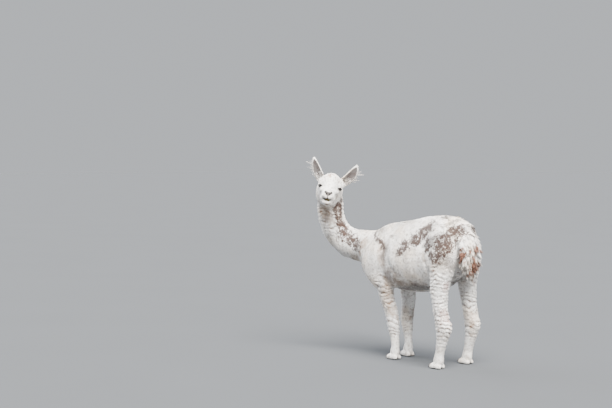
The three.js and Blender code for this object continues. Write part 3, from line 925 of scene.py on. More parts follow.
def head_marks(points):
    """Dark round the eyes and in the nostrils and mouth, bare leather on the nose, down
    its cleft, on the lips, in the ears and under the feet, pink inside the ears, tan under
    the chin: all from distances on the head. Some of it is painted shade: dark at each eye's
    inner corner, deep in the mouth and along the fold in each ear, and grey under the eyes
    and in the creases beside the muzzle's pads and the chin."""
    q = to_head(points)
    twin = mirrored(q)
    close = np.linalg.norm(q - HEAD_MIDDLE, axis=1) < HEAD_REACH
    lens, out = almond(twin, 1.0)
    by_eye = np.linalg.norm(twin - EYE_PLACE, axis=1) < 30
    rim = np.clip(1 - lens / RIM_WIDE, 0, 1) * (out > 0) * by_eye
    # painted shade at each eye's inner corner
    corner = stroke(twin, EYE_PLACE - 15 * EYE_U + 13 * GAZE, EYE_PLACE - 24 * EYE_U + 8 * GAZE, 4)
    nose = np.max([stroke(twin, (3, -156, -59), (19, -147, -51), 9),
                   stroke(twin, (4, -157, -68), (10, -154, -62), 8),
                   stroke(twin, (0, -158, -60), (0, -158, -90), 4.5)], axis=0)
    front = q[:, 1] < -92
    nostril = np.min([wall(q, n) for n in NOSTRILS.values()], axis=0)
    lips = np.clip(1 - (mouth_gap(q) - 1.0) / 3.0, 0, 1) * front * (q[:, 1] < -108)
    # painted shade: the lips' dark grows stronger further back inside the mouth
    within = fade(behind_lips(q), 0, 8)
    hollow = np.min([wall(q, h) for h in EAR_HOLLOWS.values()], axis=0)
    inside = np.clip(1.2 - hollow / 3.5, 0, 1) * (q[:, 2] > 40)
    rings = np.array(spear(1))
    across = twin[:, 0] - np.interp(q[:, 2], rings[:, 2], rings[:, 0] - 0.42 * rings[:, 3])
    # painted shade: a dark line along the fold in each ear's hollow
    fold = np.exp(-((across / 4.5) ** 2)) * inside * fade(q[:, 2], 150, 110)
    # painted shade: grey under each eye's lower lid and in the creases beside the lip pads and the
    # chin
    painted_shade_lines = np.max([0.75 * stroke(twin, (50, -54, -27), (40, -80, -44), 9),
                    0.5 * stroke(twin, (34, -132, -58), (43, -116, -96), 6),
                    0.5 * stroke(twin, (27, -146, -96), (15, -140, -124), 7)], axis=0)
    feet = np.clip(1.5 - points[:, 2] / 7, 0, 1)
    return {
        "dark": close * np.max([rim, 0.8 * corner, 0.8 * np.clip(1 - nostril / 2.5, 0, 1) * front,
                                lips * (0.2 + 0.8 * within), 0.62 * fold], axis=0),
        "grey": close * painted_shade_lines,
        "leather": np.maximum(close * np.max([nose, 0.8 * lips, 1.0 * inside], axis=0), feet),
        "pink": close * inside * fade(noise(q, 24, 14), -0.3, 0.3),
        "tan": close * 0.45 * stroke(q, (-16, -118, -126), (16, -118, -126), 15),
    }


MARK_NAMES = ("brown", "grey", "tan", "rust", "pink", "leather", "dark")
FRAY = ((62, 17, 20), (26, 5, 24))  # a noise's size and push on an edge (mm), and its shift


def marks(points):
    """Every mark's number, from 0 to 1, at each point, and the ridges' signed strength.
    Strokes are measured from points that noise has pushed about, which frays their edges."""
    found = {name: np.zeros(len(points)) for name in MARK_NAMES}
    frayed = points + sum(deep * np.stack([noise(points, size, shift + k) for k in range(3)], -1)
                          for size, deep, shift in FRAY)
    for name, rows in STROKES.items():
        for row in rows:
            found[name] = np.maximum(found[name], stroke(frayed, *row))
    for name, value in head_marks(points).items():
        found[name] = np.maximum(found[name], value)
    wave, strength = ridges(points)
    found["ridge"] = wave * strength
    return found


def carry(piece, values):
    """Puts a number for each point into the mesh, under its name."""
    for name, value in values.items():
        layer = piece.data.attributes.new(name, "FLOAT", "POINT")
        layer.data.foreach_set("value", np.asarray(value, np.float32))


skin_marks = marks(skin_points)
# the skin is painted as dark as a tuft's root: painted shade under the coat
carry(skin, {**skin_marks, "tip": np.zeros(len(skin_points))})
print("marks:", {name: round(float((value > 0.5).mean()), 4)
                 for name, value in skin_marks.items()})

# %% [markdown]
# ## Finishes
# Colours are written as they look on a screen, in hex, and turned to linear light. One
# small function adds a node with its settings and links. A finish could be painted on a
# map, but here each is worked out from the place on the animal, so that it fits every
# tuft: one colour is laid on another wherever a number is high.

# %% Colours and nodes
def colour(hexed):
    """An sRGB hex colour as linear red, green and blue, with alpha 1: ((c + 0.055) /
    1.055)^2.4 above 0.04, c / 12.92 below."""
    c = np.array([int(hexed[i:i + 2], 16) for i in (1, 3, 5)]) / 255
    return (*np.where(c > 0.04045, ((c + 0.055) / 1.055) ** 2.4, c / 12.92), 1.0)


def add(tree, kind, inputs=None, **settings):
    """A node of that kind. An input is a value, or another node's output to link."""
    made = tree.nodes.new(kind)
    for name, value in settings.items():
        setattr(made, name, value)
    for name, value in (inputs or {}).items():
        if isinstance(value, bpy.types.NodeSocket):
            tree.links.new(value, made.inputs[name])
        else:
            made.inputs[name].default_value = value
    return made


def finish_of(name, **values):
    """A material with one shader; values set its sockets, with _ for a space."""
    made = bpy.data.materials.new(name)
    made.use_nodes = True
    tree = made.node_tree
    shader = next(n for n in tree.nodes if n.type == "BSDF_PRINCIPLED")
    for socket, value in values.items():
        shader.inputs[socket.replace("_", " ")].default_value = value
    return made, tree, shader


def lay(tree, under, over, value, low, high, share=1.0):
    """Colour over laid on colour under, from none where value is at low to that share of
    it where value is at high, smooth between."""
    amount = add(tree, "ShaderNodeMapRange", {"Value": value, "From Min": low, "From Max": high,
                                              "To Max": share}, interpolation_type="SMOOTHSTEP")
    return add(tree, "ShaderNodeMix", {0: amount.outputs["Result"], 6: under, 7: over},
               data_type="RGBA").outputs[2]


# %% [markdown]
# Alpaca wool is a fine, dull fibre: it scatters light softly and hardly shines. Shorn, it
# shows its crimp as a grain, which is drawn 5 to 8 mm wide here, coarser than it is. The
# furrows between the ridges are painted brown, as painted shade. A mark isn't painted
# solid: its edge and its inside break up into flecks, as where hairs of two colours grow
# mixed. Down in the coat, the skin and the tufts' roots are painted darker, as painted shade.

# %% Shorn alpaca wool
# the second colour is painted shade: the brown laid in the furrows between the ridges
CREAM, FURROW_SHADE = "#fbf9f6", "#7a5440"
GRAINS = {  # each noise's grain in mm, its detail and its roughness
    "broad": (130, 2.0, 0.5), "middle": (26, 3.0, 0.5), "dapple": (12, 2.0, 0.6),
    "fine": (8, 3.0, 0.6), "fleck": (5, 1.0, 0.5),
}
SHADES = [  # what mottles the cream: its colour, the noise, low and high, and how much shows
    ("#efe4d6", "broad", 0.42, 0.72, 1.00),
    ("#9d938b", "middle", 0.48, 0.72, 0.34),
    ("#9d938b", "dapple", 0.50, 0.68, 0.60),
]
# stains, and painted shade: tan and grey are partly painted shade on the body, dark and grey
# partly on the face
STAINS_AND_PAINTED_SHADE = [  # the mark, its colour, how much of it shows, noise, its spread, low and high
    ("tan", "#8f6d4c", 0.56, "middle", 1.6, 0.35, 1.15),
    ("grey", "#635c59", 0.72, "fine", 2.4, 0.35, 1.10),
    ("pink", "#8a5448", 0.50, "dapple", 1.6, 0.40, 1.00),
    ("brown", "#3b2822", 0.97, "mottle", 5.4, 0.40, 0.90),
    ("brown", "#6a554b", 0.50, "fleck", 3.6, 0.85, 1.35),
    ("rust", "#6b381b", 0.94, "fine", 1.6, 0.25, 0.70),
    ("leather", "#3d3635", 0.94, "fleck", 0.5, 0.35, 0.80),
    ("dark", "#1c1512", 1.00, "fleck", 0.5, 0.35, 0.75),
]
# where the furrows' painted shade shows: the grain less the ridge, low and high, and its share
FURROW_LOW, FURROW_HIGH, FURROW_SHARE = 0.5, 1.12, 0.85  # grain less ridge: where it shows
# painted shade down in the coat: darker at each tuft's root and on the skin, a little lighter at
# the tip
PAINTED_ROOT_SHADE, PAINTED_TIP_LIGHT = 0.90, 1.04  # a tuft is darker where it comes out of the coat
FINE_SHARE = 0.6  # of the fine grain in the height, over that of the flecks
EDGE = 0.12  # a mark's number below which its flecks die out
NO_FLECK = 9.0  # taken off where a mark is nought: more than any grain adds


def wool(name, crimp):
    """The fleece's colours: cream, mottled by its grains, brown painted shade in the furrows,
    and then each mark, and last painted shade down in the coat, darker towards a tuft's
    root. A mark's number has a grain times its spread added to it, which breaks its edge
    into flecks. crimp is the height of the grain in mm."""
    made, tree, shader = finish_of(name, Roughness=0.92, Specular_IOR_Level=0.18,
                                   Sheen_Weight=0.25, Sheen_Roughness=0.6)
    place = add(tree, "ShaderNodeTexCoord").outputs["Object"]
    grain = {key: add(tree, "ShaderNodeTexNoise", {
        "Vector": place, "Scale": 1 / (size * MM), "Detail": detail, "Roughness": rough,
    }).outputs["Fac"] for key, (size, detail, rough) in GRAINS.items()}
    half = add(tree, "ShaderNodeMath", {0: grain["fine"], 1: grain["middle"]}, operation="ADD")
    grain["mottle"] = add(tree, "ShaderNodeMath", {0: half.outputs[0], 1: 0.5},
                          operation="MULTIPLY").outputs[0]
    number = {key: add(tree, "ShaderNodeAttribute", attribute_name=key).outputs["Fac"]
              for key in (*MARK_NAMES, "ridge", "tip")}
    tint = colour(CREAM)
    for hexed, size, start, end, share in SHADES:
        tint = lay(tree, tint, colour(hexed), grain[size], start, end, share)
    # painted shade: the furrows between the ridges are laid brown
    low = add(tree, "ShaderNodeMath", {0: grain["middle"], 1: number["ridge"]},
              operation="SUBTRACT")
    tint = lay(tree, tint, colour(FURROW_SHADE), low.outputs[0], FURROW_LOW, FURROW_HIGH, FURROW_SHARE)
    for mark, hexed, share, size, spread, start, end in STAINS_AND_PAINTED_SHADE:
        mixed = add(tree, "ShaderNodeMath", {0: grain[size], 1: spread, 2: number[mark]},
                    operation="MULTIPLY_ADD")
        gate = add(tree, "ShaderNodeMapRange", {"Value": number[mark], "From Max": EDGE,
                                                "To Min": -NO_FLECK, "To Max": 0.0})
        held = add(tree, "ShaderNodeMath", {0: mixed.outputs[0], 1: gate.outputs["Result"]},
                   operation="ADD")
        middle = spread / 2
        tint = lay(tree, tint, colour(hexed), held.outputs[0], middle + start, middle + end, share)
    # painted shade: the colour is darker towards a tuft's root and on the skin under the tufts
    depth = add(tree, "ShaderNodeMapRange", {"Value": number["tip"], "To Min": PAINTED_ROOT_SHADE,
                                             "To Max": PAINTED_TIP_LIGHT})
    tint = add(tree, "ShaderNodeVectorMath", {0: tint, 3: depth.outputs["Result"]},
               operation="SCALE")
    tree.links.new(tint.outputs[0], shader.inputs["Base Color"])
    height = add(tree, "ShaderNodeMath", {0: grain["fine"], 1: FINE_SHARE, 2: grain["fleck"]},
                 operation="MULTIPLY_ADD")
    bump = add(tree, "ShaderNodeBump", {"Height": height.outputs[0], "Distance": crimp * MM})
    tree.links.new(bump.outputs[0], shader.inputs["Normal"])
    return made


SKIN_WOOL = wool("shorn alpaca wool, close to the skin", 2.2)
COAT_WOOL = wool("shorn alpaca wool, tufts", 0.8)
skin.data.materials.append(SKIN_WOOL)
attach(skin, "root")
flesh = ["trunk", "neck", "head", "lower_jaw", "tail", "ear_left", "ear_right"]
for leg in LEGS:
    flesh += [f"{leg}_upper", f"{leg}_cannon", f"{leg}_foot"]
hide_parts(*flesh)
print("the skin stands for", len(flesh), "solids")

# %% [markdown]
# ## Eyes, teeth and nails
# An alpaca's eye is large and almost black: a dark brown iris with a wide, level pupil
# under a wet cornea. It could be a plain ball, but the cornea's bulge is what catches the
# light, so the ball is drawn out a little round the gaze.

# %% The eyeballs
CORNEA_HALF = 30  # degrees from the gaze to where the bulge has sunk to 1 / e
GLOBE_ROWS, GLOBE_SIDES = 32, 48


def grid_quads(rows, sides):
    """Quads between rows + 1 closed rings of points, sides points to a ring."""
    i, j = np.meshgrid(np.arange(rows), np.arange(sides), indexing="ij")
    k = (j + 1) % sides
    quads = [i * sides + j, i * sides + k, (i + 1) * sides + k, (i + 1) * sides + j]
    return np.stack(quads, -1).reshape(-1, 4)


def globe(centre, radius, gaze, bulge):
    """A sphere from angles on a grid, its points near the gaze moved out by bulge times
    e^(-(angle / CORNEA_HALF)^2), as points and quads."""
    lat = np.linspace(0, np.pi, GLOBE_ROWS + 1)[:, None]
    lon = np.linspace(0, 2 * np.pi, GLOBE_SIDES + 1)[None, :-1]
    side = unit(np.cross(gaze, [0.0, 0.0, 1.0]))
    up = np.cross(side, gaze)
    way = (np.cos(lat + 0 * lon)[..., None] * gaze + (np.sin(lat) * np.cos(lon))[..., None] * side
           + (np.sin(lat) * np.sin(lon))[..., None] * up)
    reach = radius + bulge * np.exp(-(np.degrees(lat + 0 * lon) / CORNEA_HALF) ** 2)
    points = (centre + way * reach[..., None]).reshape(-1, 3)
    return points, grid_quads(GLOBE_ROWS, GLOBE_SIDES)[:, [0, 3, 2, 1]]


PUPIL_SQUASH = (0.55, 1.4, 1.0)  # it is a level slot: places are shrunk across, stretched up
PUPIL_OUT, PUPIL_IN = 5.2, 4.2  # mm from the middle, squashed: none of it, and all of it
RIM_IN, RIM_OUT = 10.5, 12.5  # the iris's dark rim, in the same way


def wet_eye():
    """Dark brown iris, black pupil: from the point's place across the eye, in mm."""
    made, tree, shader = finish_of("wet eye, dark brown", Roughness=0.06, Coat_Weight=1.0,
                                   Coat_Roughness=0.02, IOR=1.38)
    u = add(tree, "ShaderNodeAttribute", attribute_name="eye_u").outputs["Fac"]
    v = add(tree, "ShaderNodeAttribute", attribute_name="eye_v").outputs["Fac"]
    place = add(tree, "ShaderNodeCombineXYZ", {0: u, 1: v}).outputs[0]
    off_middle = add(tree, "ShaderNodeVectorMath", {0: place}, operation="LENGTH").outputs["Value"]
    wide = add(tree, "ShaderNodeVectorMath", {0: place, 1: PUPIL_SQUASH},
               operation="MULTIPLY").outputs[0]
    level_slot = add(tree, "ShaderNodeVectorMath", {0: wide}, operation="LENGTH").outputs["Value"]
    streak = add(tree, "ShaderNodeTexNoise", {"Vector": place, "Scale": 1.6,
                                              "Detail": 3.0}).outputs["Fac"]
    tint = lay(tree, colour("#1a0f0a"), colour("#3a2416"), streak, 0.2, 0.8)
    tint = lay(tree, tint, colour("#030202"), level_slot, PUPIL_OUT, PUPIL_IN)
    tint = lay(tree, tint, colour("#120b09"), off_middle, RIM_IN, RIM_OUT)
    tree.links.new(tint, shader.inputs["Base Color"])
    return made


EYE_FINISH = wet_eye()
EYEBALL, CORNEA_BULGE = EYE - 0.4, 1.2  # the ball's radius, a hair less than the socket's
for word, side in SIDES.items():
    mirror = np.array([side, 1, 1])
    points, quads = globe(EYE_PLACE * mirror, EYEBALL, unit(GAZE * mirror), CORNEA_BULGE)
    eyeball = surface(f"eyeball_{word}", from_head(points), quads)
    off = points - EYE_PLACE * mirror
    carry(eyeball, {"eye_u": dot(off, EYE_U * mirror), "eye_v": dot(off, EYE_V * mirror)})
    eyeball.data.materials.append(EYE_FINISH)
    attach(eyeball, "root")
    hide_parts(f"eye_{word}")
print("eyeballs", 2 * EYEBALL, "mm across")

# %% [markdown]
# An alpaca has lower front teeth only. They lean forward behind the lip, long and
# yellowed. The nails are two slim curved claws at the front of each foot. Both are short
# lofts, a ring at a time, with their ends closed.

# %% Lofts for teeth and nails
SLIMMEST = 0.3  # the least half width of a loft, in mm
END_SHARE = 0.05  # size of the last ring, which closes an end, over that of the ring before


def loft(rings, sides=16, steps=4):
    """Points and quads of a limb's wall, with each end drawn in to a point's width."""
    made = between_rings(rings, steps)
    centre, tangent = made[:, :3], unit(np.gradient(made[:, :3], axis=0))
    across = unit(np.array([1.0, 0, 0]) - tangent * tangent[:, :1])
    over = np.cross(tangent, across)
    angle = np.linspace(0, 2 * np.pi, sides, endpoint=False)
    size = np.maximum(made[:, 3:5], SLIMMEST)
    rows = (centre[:, None] + across[:, None] * (size[:, :1] * np.cos(angle))[..., None]
            + over[:, None] * (size[:, 1:] * np.sin(angle))[..., None])
    ends = [centre[:1, None] + END_SHARE * (rows[:1] - centre[:1, None]),
            centre[-1:, None] + END_SHARE * (rows[-1:] - centre[-1:, None])]
    rows = np.concatenate([ends[0], rows, ends[1]])
    return rows.reshape(-1, 3), grid_quads(len(rows) - 1, sides)


def several(shapes):
    """Many lofts as one table of points and one of quads."""
    shift = np.cumsum([0] + [len(p) for p, _ in shapes])
    return (np.concatenate([p for p, _ in shapes]),
            np.concatenate([q + n for (_, q), n in zip(shapes, shift)]))


TOOTH_PLACES = ((-1.5, 3.5), (-0.5, 0.0), (0.5, 0.0), (1.5, 3.5))  # place, and how low
teeth = [loft([(place * 5.4, -114, -102, 2.6, 1.8), (place * 5.5, -122, -97 - low, 2.7, 1.7),
               (place * 5.7, -130, -92 - low, 2.7, 1.3), (place * 5.7, -133, -89 - low, 2.0, 0.8)])
         for place, low in TOOTH_PLACES]
points, quads = several(teeth)
incisors = surface("lower_incisors", from_head(points), quads)
nails = []
for name, toes in FEET.items():
    for x, y in toes:
        nails.append(loft([(x, y - 26, 28, 5, 3), (x, y - 33, 25, 7.5, 5), (x, y - 41, 19, 8, 6),
                           (x, y - 50, 12, 6, 5), (x, y - 56, 7.5, 2.2, 2)]))
points, quads = several(nails)
claws = surface("nails", points, quads)

# %% [markdown]
# Tooth is enamel over dentine, stained ochre in patches by grass, and smooth enough to
# shine. Nail is horn: laid down in rings that show as fine bands across it.

# %% Enamel and horn
enamel, tree, shader = finish_of("stained enamel", Roughness=0.35, IOR=1.62, Coat_Weight=0.3)
place = add(tree, "ShaderNodeTexCoord").outputs["Object"]
spots = add(tree, "ShaderNodeTexNoise", {"Vector": place, "Scale": 1 / (4 * MM)}).outputs["Fac"]
tint = lay(tree, colour("#d9bd6a"), colour("#a97d33"), spots, 0.4, 0.7)
tree.links.new(tint, shader.inputs["Base Color"])
incisors.data.materials.append(enamel)
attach(incisors, "root")
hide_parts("incisors")

horn, tree, shader = finish_of("grown horn", Roughness=0.5, IOR=1.55)
place = add(tree, "ShaderNodeTexCoord").outputs["Object"]
bands = add(tree, "ShaderNodeTexWave", {"Vector": place, "Scale": 1 / (8 * MM), "Distortion": 2.0,
                                       "Detail": 2.0}, bands_direction="DIAGONAL").outputs["Fac"]
tint = lay(tree, colour("#3a312b"), colour("#6e6055"), bands, 0.0, 1.0)
tree.links.new(tint, shader.inputs["Base Color"])
bump = add(tree, "ShaderNodeBump", {"Height": bands, "Distance": 0.3 * MM, "Strength": 0.6})
tree.links.new(bump.outputs[0], shader.inputs["Normal"])
claws.data.materials.append(horn)
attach(claws, "root")
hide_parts(*[f"{leg}_nail_{i}" for leg in LEGS for i in (1, 2)])
print("4 teeth and", len(nails), "nails")

# %% [markdown]
# ## The coat
# Hair could be grown by a particle system, but a particle's strands have no faces of
# their own. So the coat is made of tufts that are plain mesh: each is a short ridge, wide
# and low, that narrows to a point and bends over as it lies down. They overlap like
# thatch, stand out only at the outline, and carry the skin's marks at their own place.

# %% Which part of the body each place belongs to
PARTS = ("trunk", "neck", "tail", *LEGS, "head", "ear_left", "ear_right")
LIMBS = {"trunk": (TRUNK, -1), "neck": (NECK, -1), "tail": (TAIL, 1), "head": (SKULL, -1),
         "ear_left": (EARS["left"], 1), "ear_right": (EARS["right"], 1),
         **{name: (leg, 1) for name, leg in LEGS.items()}}
IN_HEAD = ("head", "ear_left", "ear_right")


HEAD_EDGE = 3.0  # mm by which the head's hair reaches over the neck's


def nearest_part(points):
    """The number of the part whose wall is nearest, and every part's distance."""
    _, found = measure(points, parts=True)
    gaps = np.stack([found[name] for name in PARTS], -1)
    gaps[:, PARTS.index("head")] -= HEAD_EDGE
    return gaps.argmin(1), gaps


def in_section(points, name):
    """How far along its limb a point lies (0 to 1) and its angle round it (0 to 1)."""
    shape = LIMBS[name][0]
    at, x, y, _, _ = along(to_head(points) if name in IN_HEAD else points, shape)
    return at, np.arctan2(y, x) / (2 * np.pi) + 0.5


def limb_way(points, name):
    """The direction of the limb's middle line beside each point, towards its far end."""
    shape, sign = LIMBS[name]
    local = to_head(points) if name in IN_HEAD else points
    at = along(local, shape)[0] * (len(shape["centre"]) - 1)
    way = sign * shape["tangent"][np.round(at).astype(int)]
    return way @ AXES.T if name in IN_HEAD else way


FALL = {"trunk": 0.8, "neck": 0.3, "tail": 0.6, "head": 0.15}  # the share of straight down
LIE_BLEND, LIE_LEAST = 20, 0.05  # mm over which directions blend, and the least weight used
SWIRLS = ((0.55, 70, 5), (0.35, 22, 6))  # how far noise turns the hair (radians), size, shift


def lie(points, normals, gaps):
    """The way the hair lies: each part's own direction and a share of straight down,
    weighted by e^(-distance / LIE_BLEND), flattened onto the skin and swirled by noise."""
    weight = np.exp(-(gaps - gaps.min(1, keepdims=True)) / LIE_BLEND)
    flow = np.zeros_like(points)
    for i, name in enumerate(PARTS):
        some = weight[:, i] > LIE_LEAST
        if some.any():
            way = limb_way(points[some], name) + FALL.get(name, 0.0) * np.array([0, 0, -1.0])
            flow[some] += weight[some, i][:, None] * way
    flow = unit(flow - normals * dot(flow, normals)[:, None])
    side = np.cross(normals, flow)
    swirl = sum(turn * noise(points, size, shift) for turn, size, shift in SWIRLS)
    return unit(flow * np.cos(swirl)[:, None] + side * np.sin(swirl)[:, None])


skin_part, skin_gaps = nearest_part(skin_points)
skin_lie = lie(skin_points, skin_normals, skin_gaps)
print({name: int((skin_part == i).sum()) for i, name in enumerate(PARTS)})

# %% [markdown]
# Roots are spread evenly over the skin: triangles are set out in order, their areas are
# added up, and a root is dropped at even steps of that sum, each step moved a little at
# random. Where the coat should be closer, an area counts for more.

# %% Roots
CORNERS = np.concatenate([skin_quads[:, [0, 1, 2]], skin_quads[:, [0, 2, 3]]])
CORNERS = CORNERS[np.argsort(np.concatenate([np.arange(len(skin_quads))] * 2), kind="stable")]
TRIANGLE_PART = skin_part[CORNERS[:, 0]]


def roots(names, count, chance, density=None):
    """count places on the skin of those parts: their points, normals and lie, as weighted
    means of a triangle's corners, and their part numbers."""
    wanted = np.isin(TRIANGLE_PART, [PARTS.index(n) for n in names])
    tri = CORNERS[wanted]
    a, b, c = (skin_points[tri[:, k]] for k in range(3))
    area = np.linalg.norm(np.cross(b - a, c - a), axis=1) / 2
    if density is not None:
        area = area * density((a + b + c) / 3)
    total = np.cumsum(area)
    place = (np.arange(count) + chance.random(count)) / count * total[-1]
    pick = tri[np.minimum(np.searchsorted(total, place), len(tri) - 1)]
    u, v = np.sqrt(chance.random(count)), chance.random(count)
    w = np.stack([1 - u, u * (1 - v), u * v], -1)[..., None]
    mean = [(table[pick] * w).sum(1) for table in (skin_points, skin_normals, skin_lie)]
    return mean[0], unit(mean[1]), unit(mean[2]), skin_part[pick[:, 0]]


# %% One call makes all the tufts of a piece
CROWN = 0.35  # how far a tuft's middle stands above its edges, over its width
ROOT_WIDTH = 0.8  # its width at the root, over what (1 - s^2) gives there
WAVE_TURN = 7.0  # radians by which a curled tuft's wave runs on from root to tip


def tuft_mesh(root, normal, flow, length, width, lift, rows=2, curl=0.0, sink=1.0, chance=None):
    """Each tuft's middle line leaves the root at the first lift angle above the skin and
    ends at the second. Across it lie three points, the middle one raised, narrowing as
    (1 - s^2) to the tip. curl waves it sideways by that many mm, and sink starts it that
    far below the skin. Returns the points, the triangles, each point's place s along its
    tuft, its side (-1 to 1) and its tuft."""
    count = len(root)
    s = np.linspace(0, 1, rows + 1)
    angle = np.radians(lift[0] + (lift[1] - lift[0]) * s)[None] * np.ones((count, 1))
    angle = angle * (0.75 + 0.5 * chance.random((count, 1)))
    side = unit(np.cross(flow, normal))
    way = np.cos(angle)[..., None] * flow[:, None] + np.sin(angle)[..., None] * normal[:, None]
    step = (length / rows)[:, None, None] * (way[:, :-1] + way[:, 1:]) / 2
    line = root[:, None] - sink * normal[:, None] + np.concatenate(
        [np.zeros((count, 1, 3)), np.cumsum(step, axis=1)], axis=1)
    phase = 2 * np.pi * chance.random((count, 1))
    wave = np.sin(phase + WAVE_TURN * s[None]) - np.sin(phase)
    line = line + (curl * s[None] * wave)[..., None] * side[:, None]
    up = np.cross(side[:, None], way)
    taper = np.where(s[None, :-1] == 0, ROOT_WIDTH, 1)
    span = width[:, None] * (1 - s[None, :-1] ** 2) * taper
    across = [line[:, :-1] + (0.5 * k * span)[..., None] * side[:, None]
              + (CROWN * (k == 0) * span)[..., None] * up[:, :-1] for k in (-1, 0, 1)]
    body = np.stack(across, axis=2).reshape(count, rows * 3, 3)
    points = np.concatenate([body, line[:, -1:]], axis=1)
    each = rows * 3 + 1
    faces = []
    for r in range(rows - 1):
        for k in (0, 1):
            a, b, c, d = 3 * r + k, 3 * r + k + 1, 3 * r + k + 4, 3 * r + k + 3
            faces += [(a, b, c), (a, c, d)]
    last = 3 * (rows - 1)
    faces += [(last, last + 1, each - 1), (last + 1, last + 2, each - 1)]
    faces = (np.arange(count) * each)[:, None, None] + np.array(faces)[None]
    place = np.concatenate([np.repeat(s[:-1], 3), [1.0]])
    aside = np.concatenate([np.tile([-1.0, 0.0, 1.0], rows), [0.0]])
    return (points.reshape(-1, 3), faces.reshape(-1, 3), np.tile(place, count),
            np.tile(aside, count), np.repeat(np.arange(count), each))


PATCH = 0.003  # side of a tuft's patch on the bake map, which is 1 across
ROUND_FROM, ROUND_SHARE = 0.03, 0.94  # a limb's part of its strip, round it and along it
ALONG_FROM, ALONG_SHARE = 0.02, 0.96


def coat_piece(name, names, root, normal, part, made, soft=0.8, more=None):
    """The tufts as one mesh. Each takes the marks of its root, and the ridges of each of
    its points. The bake map makes each tuft a small patch at its root's place, along and
    round its own limb. Its normals lean towards the skin's, so that the coat shades as
    one soft surface. more adds to the marks."""
    points, faces, s, aside, owner = made
    piece = surface(name, points, faces)
    found = {key: value[owner] for key, value in marks(root).items()}
    wave, strength = ridges(points)
    carry(piece, {**found, "ridge": wave * strength, "tip": s, **(more or {})})
    uv = np.zeros((len(root), 2))
    for i, one in enumerate(names):
        mine = part == PARTS.index(one)
        if mine.any():
            at, turn = in_section(root[mine], one)
            u = (i + ROUND_FROM + ROUND_SHARE * turn) / len(names)
            uv[mine] = np.stack([u, ALONG_FROM + ALONG_SHARE * at], -1)
    spot = uv[owner] + PATCH / 2 * np.stack([aside, 2 * s - 1], -1)
    layer = piece.data.uv_layers.new(name="OFBake")
    layer.data.foreach_set("uv", spot[faces.ravel()].astype(np.float32).ravel())
    a, b, c = (points[faces[:, k]] for k in range(3))
    own = np.zeros_like(points)
    for k in range(3):
        for axis in range(3):
            own[:, axis] += np.bincount(faces[:, k], np.cross(b - a, c - a)[:, axis], len(points))
    shade = unit(soft * normal[owner] + (1 - soft) * unit(own))
    piece.data.normals_split_custom_set_from_vertices(shade.tolist())
    piece.data.materials.append(COAT_WOOL)
    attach(piece, "root")
    print(name, len(root), "tufts,", len(faces), "triangles")
    return piece


def vary(count, chance, low=0.7, high=1.3):
    """count random factors between low and high."""
    return low + (high - low) * chance.random(count)


# %% [markdown]
# The body's fleece is about a centimetre deep after shearing, shortest on the shins and
# feet. Its tufts lie almost flat, longest on the back. The trunk's coat is made as two
# pieces, left and right, and each pair of legs shares one.

# %% Trunk, neck and legs
BARE_BELOW = 9  # mm above the floor: no tuft is rooted under the soles
CREST_LIFT = 1.6  # mm by which a root stands up on a crest, and down in a furrow
CREST_LENGTH = 0.25  # how much longer a tuft is on a crest


def body_coat(name, names, count, seed, length, width, lift=(30, 7), taper=None, where=None):
    """Short thatch over those parts. taper shortens it by a point's place, where counts
    an area by its place, and a root on a ridge's crest stands higher than in a furrow."""
    chance = np.random.default_rng(seed)
    root, normal, way, part = roots(names, count, chance, where)
    keep = root[:, 2] > BARE_BELOW
    root, normal, way, part = root[keep], normal[keep], way[keep], part[keep]
    wave, strength = ridges(root)
    scale = vary(len(root), chance) * (1 if taper is None else taper(root))
    scale = scale * (1 + CREST_LENGTH * wave * strength)
    root_at = root + (CREST_LIFT * wave * strength)[:, None] * normal
    made = tuft_mesh(root_at, normal, way, length * scale, width * scale ** 0.5, lift,
                     chance=chance, curl=1.0)
    return coat_piece(name, names, root, normal, part, made)


def down_the_leg(points):
    """1.5 on the thigh, as long as on the trunk, 1 above the knee and 0.5 at the foot."""
    return 0.5 + 0.5 * fade(points[:, 2], 40, 330) + 0.5 * fade(points[:, 2], 460, 620)


def up_the_neck(points):
    """1.2 at the chest, as long as on the trunk, and 0.9 behind the head."""
    return 1.2 - 0.3 * fade(points[:, 2], 650, 850)


for word, side in SIDES.items():
    body_coat(f"coat_trunk_{word}", ("trunk",), 33000, 11 + side, 16.0, 3.9,
              where=lambda p: p[:, 0] * side > 0)
body_coat("coat_neck", ("neck",), 33000, 13, 13.3, 3.0, lift=(24, 5), taper=up_the_neck)
body_coat("coat_forelegs", ("foreleg_left", "foreleg_right"), 30000, 14, 10.5, 3.2,
          taper=down_the_leg)
body_coat("coat_hindlegs", ("hindleg_left", "hindleg_right"), 33000, 15, 11.0, 3.6,
          taper=down_the_leg)

# %% [markdown]
# On the face the hair is short as velvet, longer on the crown and cheeks, and it grows
# away from the nose. Round the eyes and on the lips it gives way to bare skin.

# %% Head
BARE_DARK, BARE_LEATHER = 0.35, 0.4  # where these marks are stronger, no hair grows
WAVE_LIFT = 1.2  # CREST_LIFT's like on the crown


